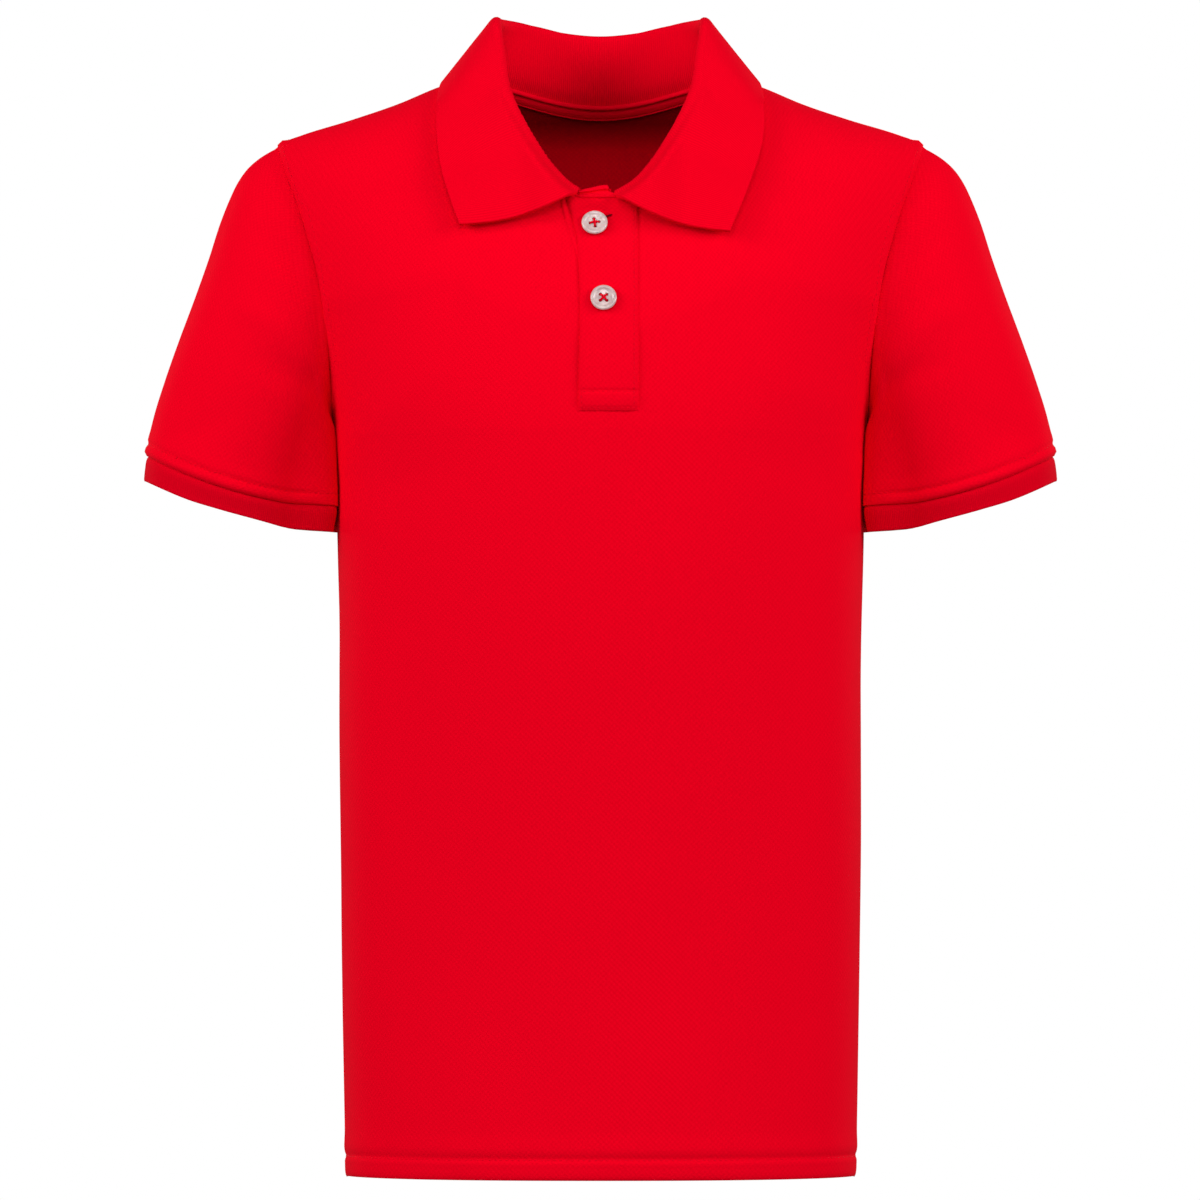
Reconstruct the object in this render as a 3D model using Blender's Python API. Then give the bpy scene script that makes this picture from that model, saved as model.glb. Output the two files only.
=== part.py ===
"""A child's short-sleeved polo shirt, filled out with no wearer in it.

Metres, +Z up. The front faces -Y and the wearer's left is +X. The origin is midway between the two
high points of the shoulders, where the wearer carries the shirt. Every length below is in
millimetres, and z counts down from the origin.
"""

import math

import bpy
import numpy as np

MM = 0.001
GAP = 0.32          # between two pieces at a seam
BODY_WALL = 1.5
SLEEVE_WALL = 1.5
CUFF_WALL = 1.8
COLLAR_WALL = 1.8
PLACKET_WALL = 1.4
TAPE_WALL = 1.1

# Trunk: half width and depth to the front and to the back, per height.
TRUNK = (  # z, half width, front depth, back depth
    (-556, 127.4, 84.5, 83.0),
    (-500, 128.2, 83.0, 83.0),
    (-450, 129.2, 82.5, 83.5),
    (-390, 129.8, 84.5, 83.5),
    (-330, 130.0, 88.5, 81.5),
    (-280, 130.3, 92.0, 80.0),
    (-232, 131.4, 94.5, 81.0),
    (-200, 132.0, 95.5, 83.0),
    (-178, 133.0, 95.5, 84.5),
    (-150, 140.0, 94.0, 85.5),
    (-114, 148.0, 86.0, 84.5),
    (-80, 156.5, 71.5, 79.5),
    (-60, 161.0, 61.5, 73.0),
    (-36, 166.0, 52.5, 64.0),
    (-12, 169.0, 44.0, 51.0),
    (10, 171.0, 38.0, 46.0),
)
SQUARENESS = 2.5
# Top line of the shoulders in the front view, and how far below it the cloth turns over it.
RIDGE = (  # x, z of the line, turn
    (0, 22, 60),
    (24, 18.6, 60),
    (46, 10.2, 57),
    (64, 0, 52),
    (81.5, -6, 47),
    (100.5, -14, 43),
    (124, -22, 40),
    (150, -30, 37),
    (161.5, -34.5, 36),
    (172, -40, 35),
)
NECK_HALF = 64.0
NECK_FRONT_DROP = 64.6
NECK_BACK_DROP = 11.5
UNDERARM = (133.0, -178.0)
TIP = (161.5, -34.5)

# Armhole seam on the front, from the shoulder tip down to the underarm.
ARMHOLE = (  # x, y, z
    (161.5, 0.0, -34.5),
    (159.9, -9.6, -40.3),
    (157.1, -17.6, -48.6),
    (151.0, -27.6, -64.4),
    (145.2, -34.6, -82.6),
    (140.6, -38.6, -99.6),
    (137.9, -40.0, -115.5),
    (135.8, -39.4, -133.3),
    (134.4, -35.4, -149.0),
    (133.5, -27.0, -163.0),
    (133.0, -15.0, -173.0),
    (133.0, 0.0, -178.0),
)
ARMHOLE_BACK = 0.96     # the back half of the loop over the front half
ARMHOLE_STEPS = 13
SEAM_RIDGE = 0.9        # the body's edge stands up beside the armhole seam
SLEEVE_STEP = 0.8       # the sleeve's edge lies this much lower
SLEEVE_ROLL = (0.0, 0.95, -0.2)     # outward steps of the last rows, where the end is rolled

HEM_Z = -550.6
HEM_LIFT = 4.2          # the hem at the centre front above the hem at the sides
HEM_ROWS = (  # z above the hem edge, outward step, extra wall
    (0.0, -0.5, 0.0),
    (2.2, 0.0, 0.9),
    (8.8, 0.05, 1.0),
    (10.4, -0.45, 1.0),
    (12.0, 0.1, 0.3),
    (15.6, 0.45, 0.0),
    (21.0, 0.0, 0.0),
)
BODY_ROWS = (-488, -444, -400, -356, -312, -274, -242, -216, -196)
NECK_COLUMNS = (0.11, 0.175, 0.24, 0.305, 0.37, 0.43)
SHOULDER_COLUMNS = (0.525, 0.62, 0.715, 0.81, 0.90, 0.97, 1.0)

# Front opening: its left edge flares at the top, where the lower band looks out.
SLOT_LEFT = (  # z, x
    (-175, -11.5),
    (-98, -11.5),
    (-92, -12.3),
    (-80, -15.8),
    (-70, -19.2),
    (-55, -21.0),
)
SLOT_RIGHT = 17.6
SLOT_FOOT = -166.0
BAND_LEFT = (  # z, x of the upper band's free edge
    (-175, -10.8),
    (-96, -10.8),
    (-86, -11.4),
    (-76, -13.4),
    (-66, -16.4),
    (-55, -18.0),
)
BAND_RIGHT = 18.6
BAND_TOP = -60.0
BAND_FOOT = -169.7
BAND_BOX = -160.0       # upper line of the box stitched across the band's foot
BAND_ROWS = 14
BAND_COLUMNS = 7
BAND_LEAD = -0.4        # the bands stop this far below the neck edge
BAND_NEAR = 0.55        # clear of the front's outer face
BAND_SOFT = 0.5         # how far the band's edges round down
UNDER_FOOT = -161.0

BUTTONS = (  # name, x, z, turn of the holes in degrees
    ("button_top", -2.9, -78.0, 9.0),
    ("button_lower", 1.5, -115.0, 45.0),
)
BUTTON_STAND = 0.45     # the shank of thread under a button
BUTTON_STEPS = 30
BUTTON_PROFILE = (  # radius, height
    (4.8, 0.0),
    (5.95, 0.35),
    (6.45, 1.1),
    (6.35, 1.75),
    (5.9, 2.2),
    (5.2, 2.25),
    (4.55, 1.9),
    (4.05, 1.6),
    (2.4, 1.5),
)
BUTTON_MIDDLE = 1.47
HOLE_CIRCLE = 2.2
HOLE_RADIUS = 0.8
HOLE_STEPS = 10

# Sleeve: leaving direction at the armhole and at the cuff, from the tip down to the underarm.
SLEEVE_LEAVE = (  # share of the half loop, x, y, z, pull, pull at the cuff
    (0.0, 0.90, 0.0, -0.43, 0.9, 1.0),
    (0.2, 0.84, -0.20, -0.50, 0.9, 1.0),
    (0.4, 0.66, -0.30, -0.69, 1.0, 0.9),
    (0.6, 0.46, -0.26, -0.85, 1.0, 0.9),
    (0.8, 0.40, -0.12, -0.92, 1.0, 0.9),
    (1.0, 0.42, 0.0, -0.91, 0.7, 0.9),
)
SLEEVE_TOP = (  # x, z of the sleeve's outer line
    (161.5, -35.0),
    (166.0, -38.2),
    (171.5, -42.0),
    (176.0, -46.0),
    (179.2, -50.0),
    (181.7, -54.0),
    (185.5, -62.0),
    (189.5, -72.0),
    (196.0, -92.0),
    (203.0, -112.0),
    (210.4, -132.0),
    (217.4, -152.0),
    (223.6, -172.0),
    (227.2, -190.0),
)
CUFF_OUTER = (227.2, -190.0)
CUFF_INNER = (134.6, -216.3)
CUFF_DEPTH = 41.0
CUFF_SAG = 5.0
CUFF_STEP = 0.5         # the cuff lies this far inside the sleeve's end line
SIDE_ROOM = 1.0         # between the trunk's side and the sleeve that lies along it
SIDE_REACH = 156.0      # x from which the sleeve's end turns flat towards the trunk
SIDE_DEPTH = 38.0       # how far to the front and back it lies flat
SIDE_EASE = 14.0
CUFF_DROP_OUTER = (1.2, -12.6)
CUFF_DROP_INNER = (0.8, -11.6)
SLEEVE_ROWS = (0.0, 0.03, 0.075, 0.14, 0.22, 0.31, 0.41, 0.52, 0.63, 0.74, 0.84, 0.915, 0.955, 1.0)
SLEEVE_FOLDS = (  # ends x z, x z, height out of the cloth, half width
    (161.0, -88.0, 143.0, -114.0, -1.6, 7.5),
    (176.0, -115.0, 146.0, -133.0, 1.5, 8.0),
    (168.0, -133.0, 138.0, -152.0, -2.3, 7.0),
    (164.0, -150.0, 148.0, -164.0, 1.4, 8.0),
)

# Collar per station: x on the neck seam, the fold and the outer edge of the leaf.
COLLAR_RIGHT = (  # side, seam x, fold x, y, z, edge x, y, z
    (-1, 9.0, 9.2, -59.6, -59.6, 63.5, -70.5, -81.2),
    (-1, 18.0, 15.2, -58.0, -56.4, 66.8, -67.3, -73.5),
    (-1, 28.0, 23.1, -55.0, -47.7, 70.2, -63.2, -65.3),
    (-1, 38.0, 32.2, -49.5, -33.9, 73.6, -58.8, -56.2),
    (-1, 47.0, 40.3, -41.5, -18.6, 77.4, -53.6, -45.6),
    (-1, 54.5, 44.9, -32.5, -6.6, 80.2, -45.6, -34.0),
    (-1, 62.0, 48.2, -17.0, 14.2, 81.6, -30.2, -16.0),
    (1, 64.0, 50.0, 0.0, 28.4, 79.8, 0.0, -3.3),
    (1, 58.0, 48.8, 13.0, 28.7, 77.8, 17.0, -6.9),
    (1, 46.0, 43.5, 26.0, 28.6, 69.0, 33.0, -10.8),
    (1, 32.0, 32.0, 37.0, 26.7, 48.0, 46.0, -15.5),
    (1, 16.0, 16.4, 44.5, 23.7, 24.0, 53.2, -18.3),
    (1, 0.0, 0.0, 47.0, 22.5, 0.0, 55.6, -19.5),
)
COLLAR_LEFT_EDGE = (  # edge x, y, z where the left leaf differs from the right one
    (69.1, -68.4, -77.7),
    (71.6, -65.6, -71.2),
    (73.9, -62.4, -64.6),
    (76.6, -58.2, -56.4),
    (79.2, -52.6, -45.4),
    (81.0, -44.6, -33.2),
    (81.7, -30.0, -15.8),
)
COLLAR_STATIONS = 34
FOLD_RADIUS = 2.1
FRONT_EDGE_SAG = 4.2
LEAF_SWELL = 2.2
SIDE_TAUT = 0.5         # share of the swell that is lost over the shoulders, where the leaf is taut
FOOT_FRONT, FOOT_BACK = 1.8, 0.6    # the stand starts this far above the neck edge
NECK_MIDDLE = (0.0, -4.0, 0.0)
STAND_SWELL = 1.1
STAND_SHARES = (0.0, 0.3, 0.65, 1.0)
FOLD_TURNS = (40, 80, 120, 155)     # degrees round the fold
LEAF_SHARES = (0.1, 0.25, 0.42, 0.6, 0.78, 0.92, 1.0)
LEAF_END = 2.2          # stations over which a leaf flattens towards its free end
LEAF_ROOM = 1.0         # from the leaf's inner face to the cloth under it
LEAF_ROOM_BAND = 2.4    # more of it over the bands
TAPE_HALF = 58.0
TAPE_NEAR = 0.45
TAPE_ROWS = (1.6, 4.8, 8.2)     # below the neck edge

COLOURS = {
    "knit": (0.90, 0.006, 0.020, 1.0),
    "ribbed_knit": (0.84, 0.006, 0.020, 1.0),
    "woven_tape": (0.55, 0.006, 0.016, 1.0),
    "button_plastic": (0.78, 0.60, 0.60, 1.0),
}
ROUGHNESS = {"knit": 0.85, "ribbed_knit": 0.85, "woven_tape": 0.8, "button_plastic": 0.25}


def clear_scene():
    for obj in list(bpy.data.objects):
        bpy.data.objects.remove(obj, do_unlink=True)


def curve(rows, at):
    """Cubic curve through the rows, whose first column rises. Returns the other columns at `at`."""
    table = np.asarray(rows, float)
    t, values = table[:, 0], table[:, 1:]
    step = np.diff(t)
    slope = np.diff(values, axis=0) / step[:, None]
    tangent = np.empty_like(values)
    tangent[0], tangent[-1] = slope[0], slope[-1]
    weight = step[:, None]
    tangent[1:-1] = (slope[:-1] * weight[1:] + slope[1:] * weight[:-1]) / (weight[1:] + weight[:-1])
    at = np.clip(np.asarray(at, float), t[0], t[-1])
    i = np.clip(np.searchsorted(t, at, side="right") - 1, 0, len(t) - 2)
    s = ((at - t[i]) / step[i])[..., None]
    h = step[i][..., None]
    a, b = values[i], values[i + 1]
    p, q = tangent[i] * h, tangent[i + 1] * h
    return a + s * p + s**2 * (3 * (b - a) - 2 * p - q) + s**3 * (2 * (a - b) + p + q)


def by_length(points):
    """The points with their running length as a first column."""
    points = np.asarray(points, float)
    run = np.concatenate([[0], np.cumsum(np.linalg.norm(np.diff(points, axis=0), axis=1))])
    return np.column_stack([run, points])


def unit(v):
    return v / np.maximum(np.linalg.norm(v, axis=-1, keepdims=True), 1e-12)


def smooth(t):
    t = np.clip(t, 0, 1)
    return t * t * (3 - 2 * t)


def trunk_y(x, z, side):
    """How far the trunk's outer face stands from the shoulder plane. side is -1 front, +1 back."""
    size = curve(TRUNK, z)
    half, depth = size[..., 0], np.where(side < 0, size[..., 1], size[..., 2])
    ridge = curve(RIDGE, np.abs(x))
    t = np.clip((ridge[..., 0] - z) / ridge[..., 1], 0, 1)
    turn = np.sqrt(1 - (1 - t) ** 2)
    level = (1 - np.clip(np.abs(x) / half, 0, 1) ** SQUARENESS) ** (1 / SQUARENESS)
    return side * depth * level * turn


def level_share(u):
    """x and y on the unit section at share u of its length from the centre to the side."""
    a = np.linspace(0, math.pi / 2, 400)
    x, y = np.sin(a) ** (2 / SQUARENESS), np.cos(a) ** (2 / SQUARENESS)
    run = np.concatenate([[0], np.cumsum(np.hypot(np.diff(x), 0.68 * np.diff(y)))])
    return np.interp(np.asarray(u) * run[-1], run, x), np.interp(np.asarray(u) * run[-1], run, y)


def neck_z(x, side):
    share = np.clip(1 - (np.abs(x) / NECK_HALF) ** 2, 0, 1)
    front = -NECK_FRONT_DROP * np.sqrt(share)
    back = -NECK_BACK_DROP * share**1.8
    return np.where(np.asarray(side) < 0, front, back)


def armhole_half(side):
    """Seam points of half an armhole, from the underarm up to the shoulder tip, at +X."""
    rows = np.array(ARMHOLE[::-1], float)
    rows[:, 1] *= 1 if side < 0 else -ARMHOLE_BACK
    ghost = rows * [1, -1, 1]
    whole = np.vstack([ghost[2:0:-1], rows, ghost[-2:-4:-1]])
    table = by_length(whole)
    start, stop = table[2, 0], table[-3, 0]
    even = np.linspace(0, 1, ARMHOLE_STEPS + 1)
    bunched = (1 - np.cos(math.pi * even)) / 2
    points = curve(table, start + (stop - start) * (0.45 * even + 0.55 * bunched))
    points[0], points[-1] = rows[0], rows[-1]
    return points


def normals(grid, wrap=False):
    """Unit normals of a grid of points, rows first."""
    down = np.gradient(grid, axis=0)
    if wrap:
        across = (np.roll(grid, -1, axis=1) - np.roll(grid, 1, axis=1)) / 2
    else:
        across = np.gradient(grid, axis=1)
    return unit(np.cross(across, down))


def grid_triangles(rows, columns, slot, wrap):
    """Four-sided faces of a grid. slot is (first row, first column, last column) of what is cut out."""
    faces = []
    for r in range(rows - 1):
        for c in range(columns if wrap else columns - 1):
            if slot and r >= slot[0] and slot[1] <= c < slot[2]:
                continue
            d = (c + 1) % columns
            faces.append((r * columns + c, r * columns + d, (r + 1) * columns + d, (r + 1) * columns + c))
    return faces


def split(points, faces):
    """Each four-sided face as two triangles along its shorter diagonal."""
    out = []
    for a, b, c, d in faces:
        if np.linalg.norm(points[a] - points[c]) <= np.linalg.norm(points[b] - points[d]) + 1e-6:
            out += [(a, b, c), (a, c, d)]
        else:
            out += [(a, b, d), (b, c, d)]
    return out


def wall(outer, inner, slot=None, wrap=False):
    """Points and triangles of the closed wall between two grids of the same shape."""
    rows, columns = outer.shape[:2]
    points = np.vstack([outer.reshape(-1, 3), inner.reshape(-1, 3)])
    count = rows * columns
    top = split(points, grid_triangles(rows, columns, slot, wrap))
    edges = {}
    for a, b, c in top:
        for e in ((a, b), (b, c), (c, a)):
            edges[e] = edges.get(e, 0) + 1
    faces = list(top) + [(c + count, b + count, a + count) for a, b, c in top]
    for a, b in edges:
        if (b, a) not in edges:
            faces += [(b, a, a + count), (b, a + count, b + count)]
    used = np.unique(np.array(faces))
    index = np.full(len(points), -1)
    index[used] = np.arange(len(used))
    return points[used], index[np.array(faces)]


def add_piece(name, points, faces, slot):
    corners = points[faces]
    volume = np.einsum("ij,ij->i", corners[:, 0], np.cross(corners[:, 1], corners[:, 2])).sum()
    if volume < 0:
        faces = faces[:, ::-1]
    mesh = bpy.data.meshes.new(name)
    mesh.from_pydata((points * MM).tolist(), [], [tuple(int(i) for i in f) for f in faces])
    mesh.validate()
    for polygon in mesh.polygons:
        polygon.use_smooth = True
    obj = bpy.data.objects.new(name, mesh)
    bpy.context.scene.collection.objects.link(obj)
    mesh.materials.append(finish(slot, name))
    return obj


def finish(slot, name):
    made = bpy.data.materials.new(f"{slot}_{name}")
    made.use_nodes = True
    shader = made.node_tree.nodes["Principled BSDF"]
    shader.inputs["Base Color"].default_value = COLOURS[slot]
    shader.inputs["Roughness"].default_value = ROUGHNESS[slot]
    return made


def body_columns(side):
    """Signed shares of the half panel, from the wearer's right to the left, and their top ends."""
    neck = (0.0,) + NECK_COLUMNS
    u = np.array(neck + SHOULDER_COLUMNS)
    last = NECK_COLUMNS[-1]
    share = np.array(neck) / last
    x_neck = NECK_HALF * np.sin(share * math.pi / 2)
    rest = (np.array(SHOULDER_COLUMNS) - last) / (1 - last)
    x_top = np.concatenate([x_neck, NECK_HALF + (TIP[0] - NECK_HALF) * rest])
    z_top = np.concatenate([neck_z(x_neck, side), curve(RIDGE, x_top[len(neck):])[:, 0]])
    z_top[-1] = TIP[1]
    return u, x_top, z_top


def body_grid(side):
    """Seam-to-seam points of one body panel: rows from the hem up, columns across."""
    u, x_top, z_top = body_columns(side)
    sx, sy = level_share(u)
    loop = armhole_half(side)
    hem_z = [HEM_Z + row[0] for row in HEM_ROWS]
    lower = hem_z + list(BODY_ROWS)
    rows = []
    for z in lower:
        size = curve(TRUNK, z)
        depth = size[1] if side < 0 else size[2]
        lift = (HEM_LIFT if side < 0 else 0.0) * (1 - smooth((z - HEM_Z) / 230)) * sy**2
        rows.append(np.column_stack([size[0] * sx, side * depth * sy, z + lift]))
    for point in loop:
        share = (point[2] - UNDERARM[1]) / (TIP[1] - UNDERARM[1])
        blend = smooth(share) * 0.55 + share * 0.45
        k = (1 - blend) * sx + blend * x_top / TIP[0]
        x = point[0] * k
        z = UNDERARM[1] + (z_top - UNDERARM[1]) * share
        y = trunk_y(x, z, side)
        wanted = point[1] - trunk_y(np.array([point[0]]), np.array([point[2]]), side)[0]
        y = y + wanted * smooth((u - 0.55) / 0.45)
        rows.append(np.column_stack([x, y, z]))
        rows[-1][-1] = point
    return np.array(rows), u


def mirror_grid(half):
    """The half panel and its mirror image as one grid, wearer's right first."""
    other = half[:, :0:-1].copy()
    other[..., 0] *= -1
    return np.concatenate([other, half], axis=1)


def sleeve_grid():
    """Centre points of the +X sleeve: rows from the armhole to the cuff seam, columns round it."""
    front, back = armhole_half(-1)[::-1], armhole_half(1)
    loop = np.vstack([front, back[1:-1]])
    n = ARMHOLE_STEPS
    share = np.concatenate([np.arange(n + 1) / n, np.arange(n - 1, 0, -1) / n])
    side = np.concatenate([-np.ones(n + 1), np.ones(n - 1)])
    cuff = cuff_loop(share, side)
    leave = curve(SLEEVE_LEAVE, share)
    along = unit(leave[:, :3])
    along[:, 1] *= -side
    reach = np.linalg.norm(cuff - loop, axis=1)[:, None]
    arrive = unit(np.column_stack([0.306 - 0.40 * share, 0 * share, -0.952 + 0 * share]))
    a, b = along * reach * leave[:, 3:4], arrive * reach * leave[:, 4:5]
    s = np.array(SLEEVE_ROWS)[:, None, None]
    grid = loop + s * a + s**2 * (3 * (cuff - loop) - 2 * a - b) + s**3 * (2 * (loop - cuff) + a + b)
    top = by_length(SLEEVE_TOP)
    line = curve(top, np.array(SLEEVE_ROWS) * top[-1, 0])
    fix = np.column_stack([line[:, 0], 0 * line[:, 0], line[:, 1]]) - grid[:, 0]
    fix[0], fix[-1] = 0, 0
    grid = grid + fix[:, None] * (np.clip(np.cos(share * math.pi), 0, 1) ** 2)[None, :, None]
    return grid, side


def cuff_loop(share, side):
    """Points of the cuff seam at a share of its half length from the outer to the inner end."""
    outer, inner = np.array(CUFF_OUTER), np.array(CUFF_INNER)
    centre, arm = (outer + inner) / 2, (outer - inner) / 2
    turn = share * math.pi
    x = centre[0] + arm[0] * np.cos(turn)
    y = side * CUFF_DEPTH * np.sin(turn)
    z = centre[1] + arm[1] * np.cos(turn) - CUFF_SAG * np.sin(turn) ** 2
    # The inner side lies flat along the trunk's side.
    size = curve(TRUNK, z)
    depth = np.where(y < 0, size[..., 1], size[..., 2])
    level = (1 - np.clip(np.abs(y) / depth, 0, 1) ** SQUARENESS) ** (1 / SQUARENESS)
    near = smooth((SIDE_REACH - x) / SIDE_EASE) * smooth((SIDE_DEPTH - np.abs(y)) / SIDE_EASE)
    x = x + (size[..., 0] * level + SIDE_ROOM - x) * near
    return np.column_stack([x, y, z])


def fold_height(points):
    """Height of the sleeve's soft folds at points of its front, in millimetres out of the cloth."""
    height = np.zeros(points.shape[:-1])
    for x0, z0, x1, z1, high, half in SLEEVE_FOLDS:
        line = np.array([x1 - x0, z1 - z0])
        away = points[..., [0, 2]] - [x0, z0]
        s = np.clip((away @ line) / (line @ line), 0, 1)
        gap = np.linalg.norm(away - s[..., None] * line, axis=-1)
        height += high * np.exp(-((gap / half) ** 2))
    return height


def flip(points):
    return points * [-1, 1, 1]


def make_body_and_sleeves():
    sleeve, side = sleeve_grid()
    sleeve_n = normals(sleeve, wrap=True)
    centre = sleeve.mean(axis=1, keepdims=True)
    if np.einsum("ijk,ijk->", sleeve_n, sleeve - centre) < 0:
        sleeve_n = -sleeve_n
    n = ARMHOLE_STEPS
    panels = {}
    for name, s in (("front", -1), ("back", 1)):
        half, u = body_grid(s)
        grid = mirror_grid(half)
        face = normals(grid)
        if face[5, grid.shape[1] // 2, 1] * s < 0:
            face = -face
        panels[name] = (grid, face, u)
    # The two panels share their normals along the side seams and the shoulder seams.
    low = len(HEM_ROWS) + len(BODY_ROWS)
    for grid, face, u in panels.values():
        face[: low + 1, 0, 1] = face[: low + 1, -1, 1] = 0
        shoulder = np.concatenate([u[:0:-1], u]) > NECK_COLUMNS[-1] - 0.001
        face[-1, shoulder, 1] = 0
        face[:] = unit(face)
    # Along an armhole the panel and the sleeve share the mean of their normals.
    seam_n = sleeve_n[0].copy()
    for name, order in (("front", np.arange(n, -1, -1)), ("back", np.r_[n:2 * n, 0])):
        grid, face, _ = panels[name]
        mean = unit(face[low:, -1] + sleeve_n[0][order])
        if name == "front":
            first = mean
        else:
            mean[0], mean[-1] = first[0], first[-1]
        mean[0] = unit(np.array([0.12, 0.0, -1.0]))
        mean[-1, 1] = 0
        mean = unit(mean)
        face[low:, -1] = mean
        face[low:, 0] = mean * [-1, 1, 1]
        seam_n[order] = mean
    sleeve_n[0] = seam_n
    tangent = unit(np.roll(sleeve[0], -1, axis=0) - np.roll(sleeve[0], 1, axis=0))
    away = unit(np.cross(tangent, seam_n))
    if np.einsum("ij,ij->", away, sleeve[1] - sleeve[0]) < 0:
        away = -away
    make_panels(panels, low, away)
    make_sleeves(sleeve, sleeve_n, away, side)


def make_panels(panels, low, away):
    n = ARMHOLE_STEPS
    for name, s in (("front", -1), ("back", 1)):
        grid, face, u = panels[name]
        rows, columns = grid.shape[:2]
        outer, inner = grid.copy(), grid.copy()
        thick = np.full(rows, BODY_WALL)
        for r, (_, out, extra) in enumerate(HEM_ROWS):
            outer[r] += face[r] * out
            thick[r] += extra + min(out, 0)
        # The edge beside the armhole stands up as a soft ridge.
        ridge = np.zeros((rows, columns))
        ridge[low:, -2:], ridge[low:, :2] = SEAM_RIDGE, SEAM_RIDGE
        ridge[low] = 0
        ridge[low + 1:low + 3] *= 0.5
        outer += face * ridge[..., None]
        inner = grid + face * (np.array([HEM_ROWS[r][1] if r < len(HEM_ROWS) else 0 for r in range(rows)])
                               [:, None, None] - thick[:, None, None])
        # Seams: side, shoulder, neck and armholes are drawn back by half the gap.
        half = GAP / 2
        for part in (outer, inner):
            part[: low + 1, [0, -1], 1] += s * half
            top = np.concatenate([u[:0:-1], u]) >= NECK_COLUMNS[-1] - 0.001
            part[-1, top, 1] += s * half
            part[-1, ~top, 2] -= half
            order = np.arange(n, -1, -1) if s < 0 else np.r_[n:2 * n, 0]
            part[low:, -1] -= away[order] * half
            part[low:, 0] -= (away * [-1, 1, 1])[order] * half
            part[low, [0, -1], 1] = s * half
            part[-1, [0, -1], 1] = s * half
        slot = None
        if s < 0:
            middle = columns // 2
            left, right = middle - 1, middle + 1
            foot = low + int(np.argmin(np.abs(grid[low:, middle, 2] - SLOT_FOOT)))
            for part in (outer, inner):
                for c, x_top in ((left, SLOT_LEFT[-1][1]), (right, SLOT_RIGHT)):
                    z = part[foot:, c, 2]
                    part[foot:, c, 2] = z[0] + (z - z[0]) * (neck_z(x_top, -1) - half - z[0]) / (z[-1] - z[0])
                part[foot:, left, 0] = curve(SLOT_LEFT, part[foot:, left, 2])[:, 0]
                part[foot:, right, 0] = SLOT_RIGHT
            for part, back in ((outer, 0.0), (inner, BODY_WALL)):
                for c in (left, right):
                    x, z = part[foot:, c, 0], part[foot:, c, 2]
                    part[foot:, c, 1] = trunk_y(x, z, -1) + back
            slot = (foot, left, right)
        add_piece(name, *wall(outer, inner, slot), "knit")


def make_sleeves(sleeve, sleeve_n, away, side):
    last = sleeve.shape[0] - 1
    share_rows = np.array(SLEEVE_ROWS)
    inside = smooth(share_rows / 0.10) * smooth((1 - share_rows) / 0.12)
    lift = fold_height(sleeve) * (side < 0) * inside[:, None]
    lift[0] -= SLEEVE_STEP
    lift[1] -= SLEEVE_STEP * 0.6
    lift[last - 2:] += np.array(SLEEVE_ROLL)[:, None]
    # Beside the trunk the cloth lies flat, with no step.
    flat = np.clip((sleeve[..., 0] - 137.5) / 3, 0, 1)
    outer = sleeve + sleeve_n * (lift * flat)[..., None]
    inner = outer - sleeve_n * SLEEVE_WALL
    cuff_n = sleeve_n[last]
    for part in (outer, inner):
        part[0] += away * (GAP / 2)
        down = unit(sleeve[last] - sleeve[last - 1])
        part[last] -= down * (GAP / 2)
    points, faces = wall(outer, inner, wrap=True)
    add_piece("sleeve_left", points, faces, "knit")
    add_piece("sleeve_right", flip(points), faces, "knit")

    share = np.concatenate([np.arange(ARMHOLE_STEPS + 1), np.arange(ARMHOLE_STEPS - 1, 0, -1)])
    share = (share / ARMHOLE_STEPS)[:, None]
    drop = np.array(CUFF_DROP_OUTER) * (1 - share) + np.array(CUFF_DROP_INNER) * share
    drop = np.column_stack([drop[:, 0], 0 * drop[:, 0], drop[:, 1]])
    seam = sleeve[last] - cuff_n * CUFF_STEP
    levels = (0.0, 0.12, 0.5, 0.88, 1.0)
    steps = (-0.45, 0.0, 0.15, 0.0, -0.45)
    outer = np.array([seam + drop * t + cuff_n * out for t, out in zip(levels, steps)])
    inner = np.array([seam + drop * t - cuff_n * (CUFF_WALL + out) for t, out in zip(levels, steps)])
    for part in (outer, inner):
        part[0] += unit(drop) * (GAP / 2)
    points, faces = wall(outer, inner, wrap=True)
    add_piece("cuff_left", points, faces, "ribbed_knit")
    add_piece("cuff_right", flip(points), faces, "ribbed_knit")


def collar_stations():
    """Seam, fold and edge of the collar at even stations, wearer's left front round to the right."""
    right = np.array(COLLAR_RIGHT, float)
    left = right.copy()
    left[: len(COLLAR_LEFT_EDGE), 5:] = COLLAR_LEFT_EDGE
    left[:, [1, 2, 5]] *= -1
    rows = np.vstack([right, left[-2::-1]])
    seam_y = trunk_y(rows[:, 1], neck_z(rows[:, 1], rows[:, 0]), rows[:, 0])
    seam = np.column_stack([rows[:, 1], seam_y, neck_z(rows[:, 1], rows[:, 0])])
    table = np.column_stack([seam, rows[:, 2:]])
    run = by_length(rows[:, 2:5] * 0.6 + rows[:, 5:] * 0.4)[:, 0]
    at = np.linspace(0, run[-1], COLLAR_STATIONS + 1)
    out = curve(np.column_stack([run, table]), at)
    return out[:, :3], out[:, 3:6], out[:, 6:]


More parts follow.
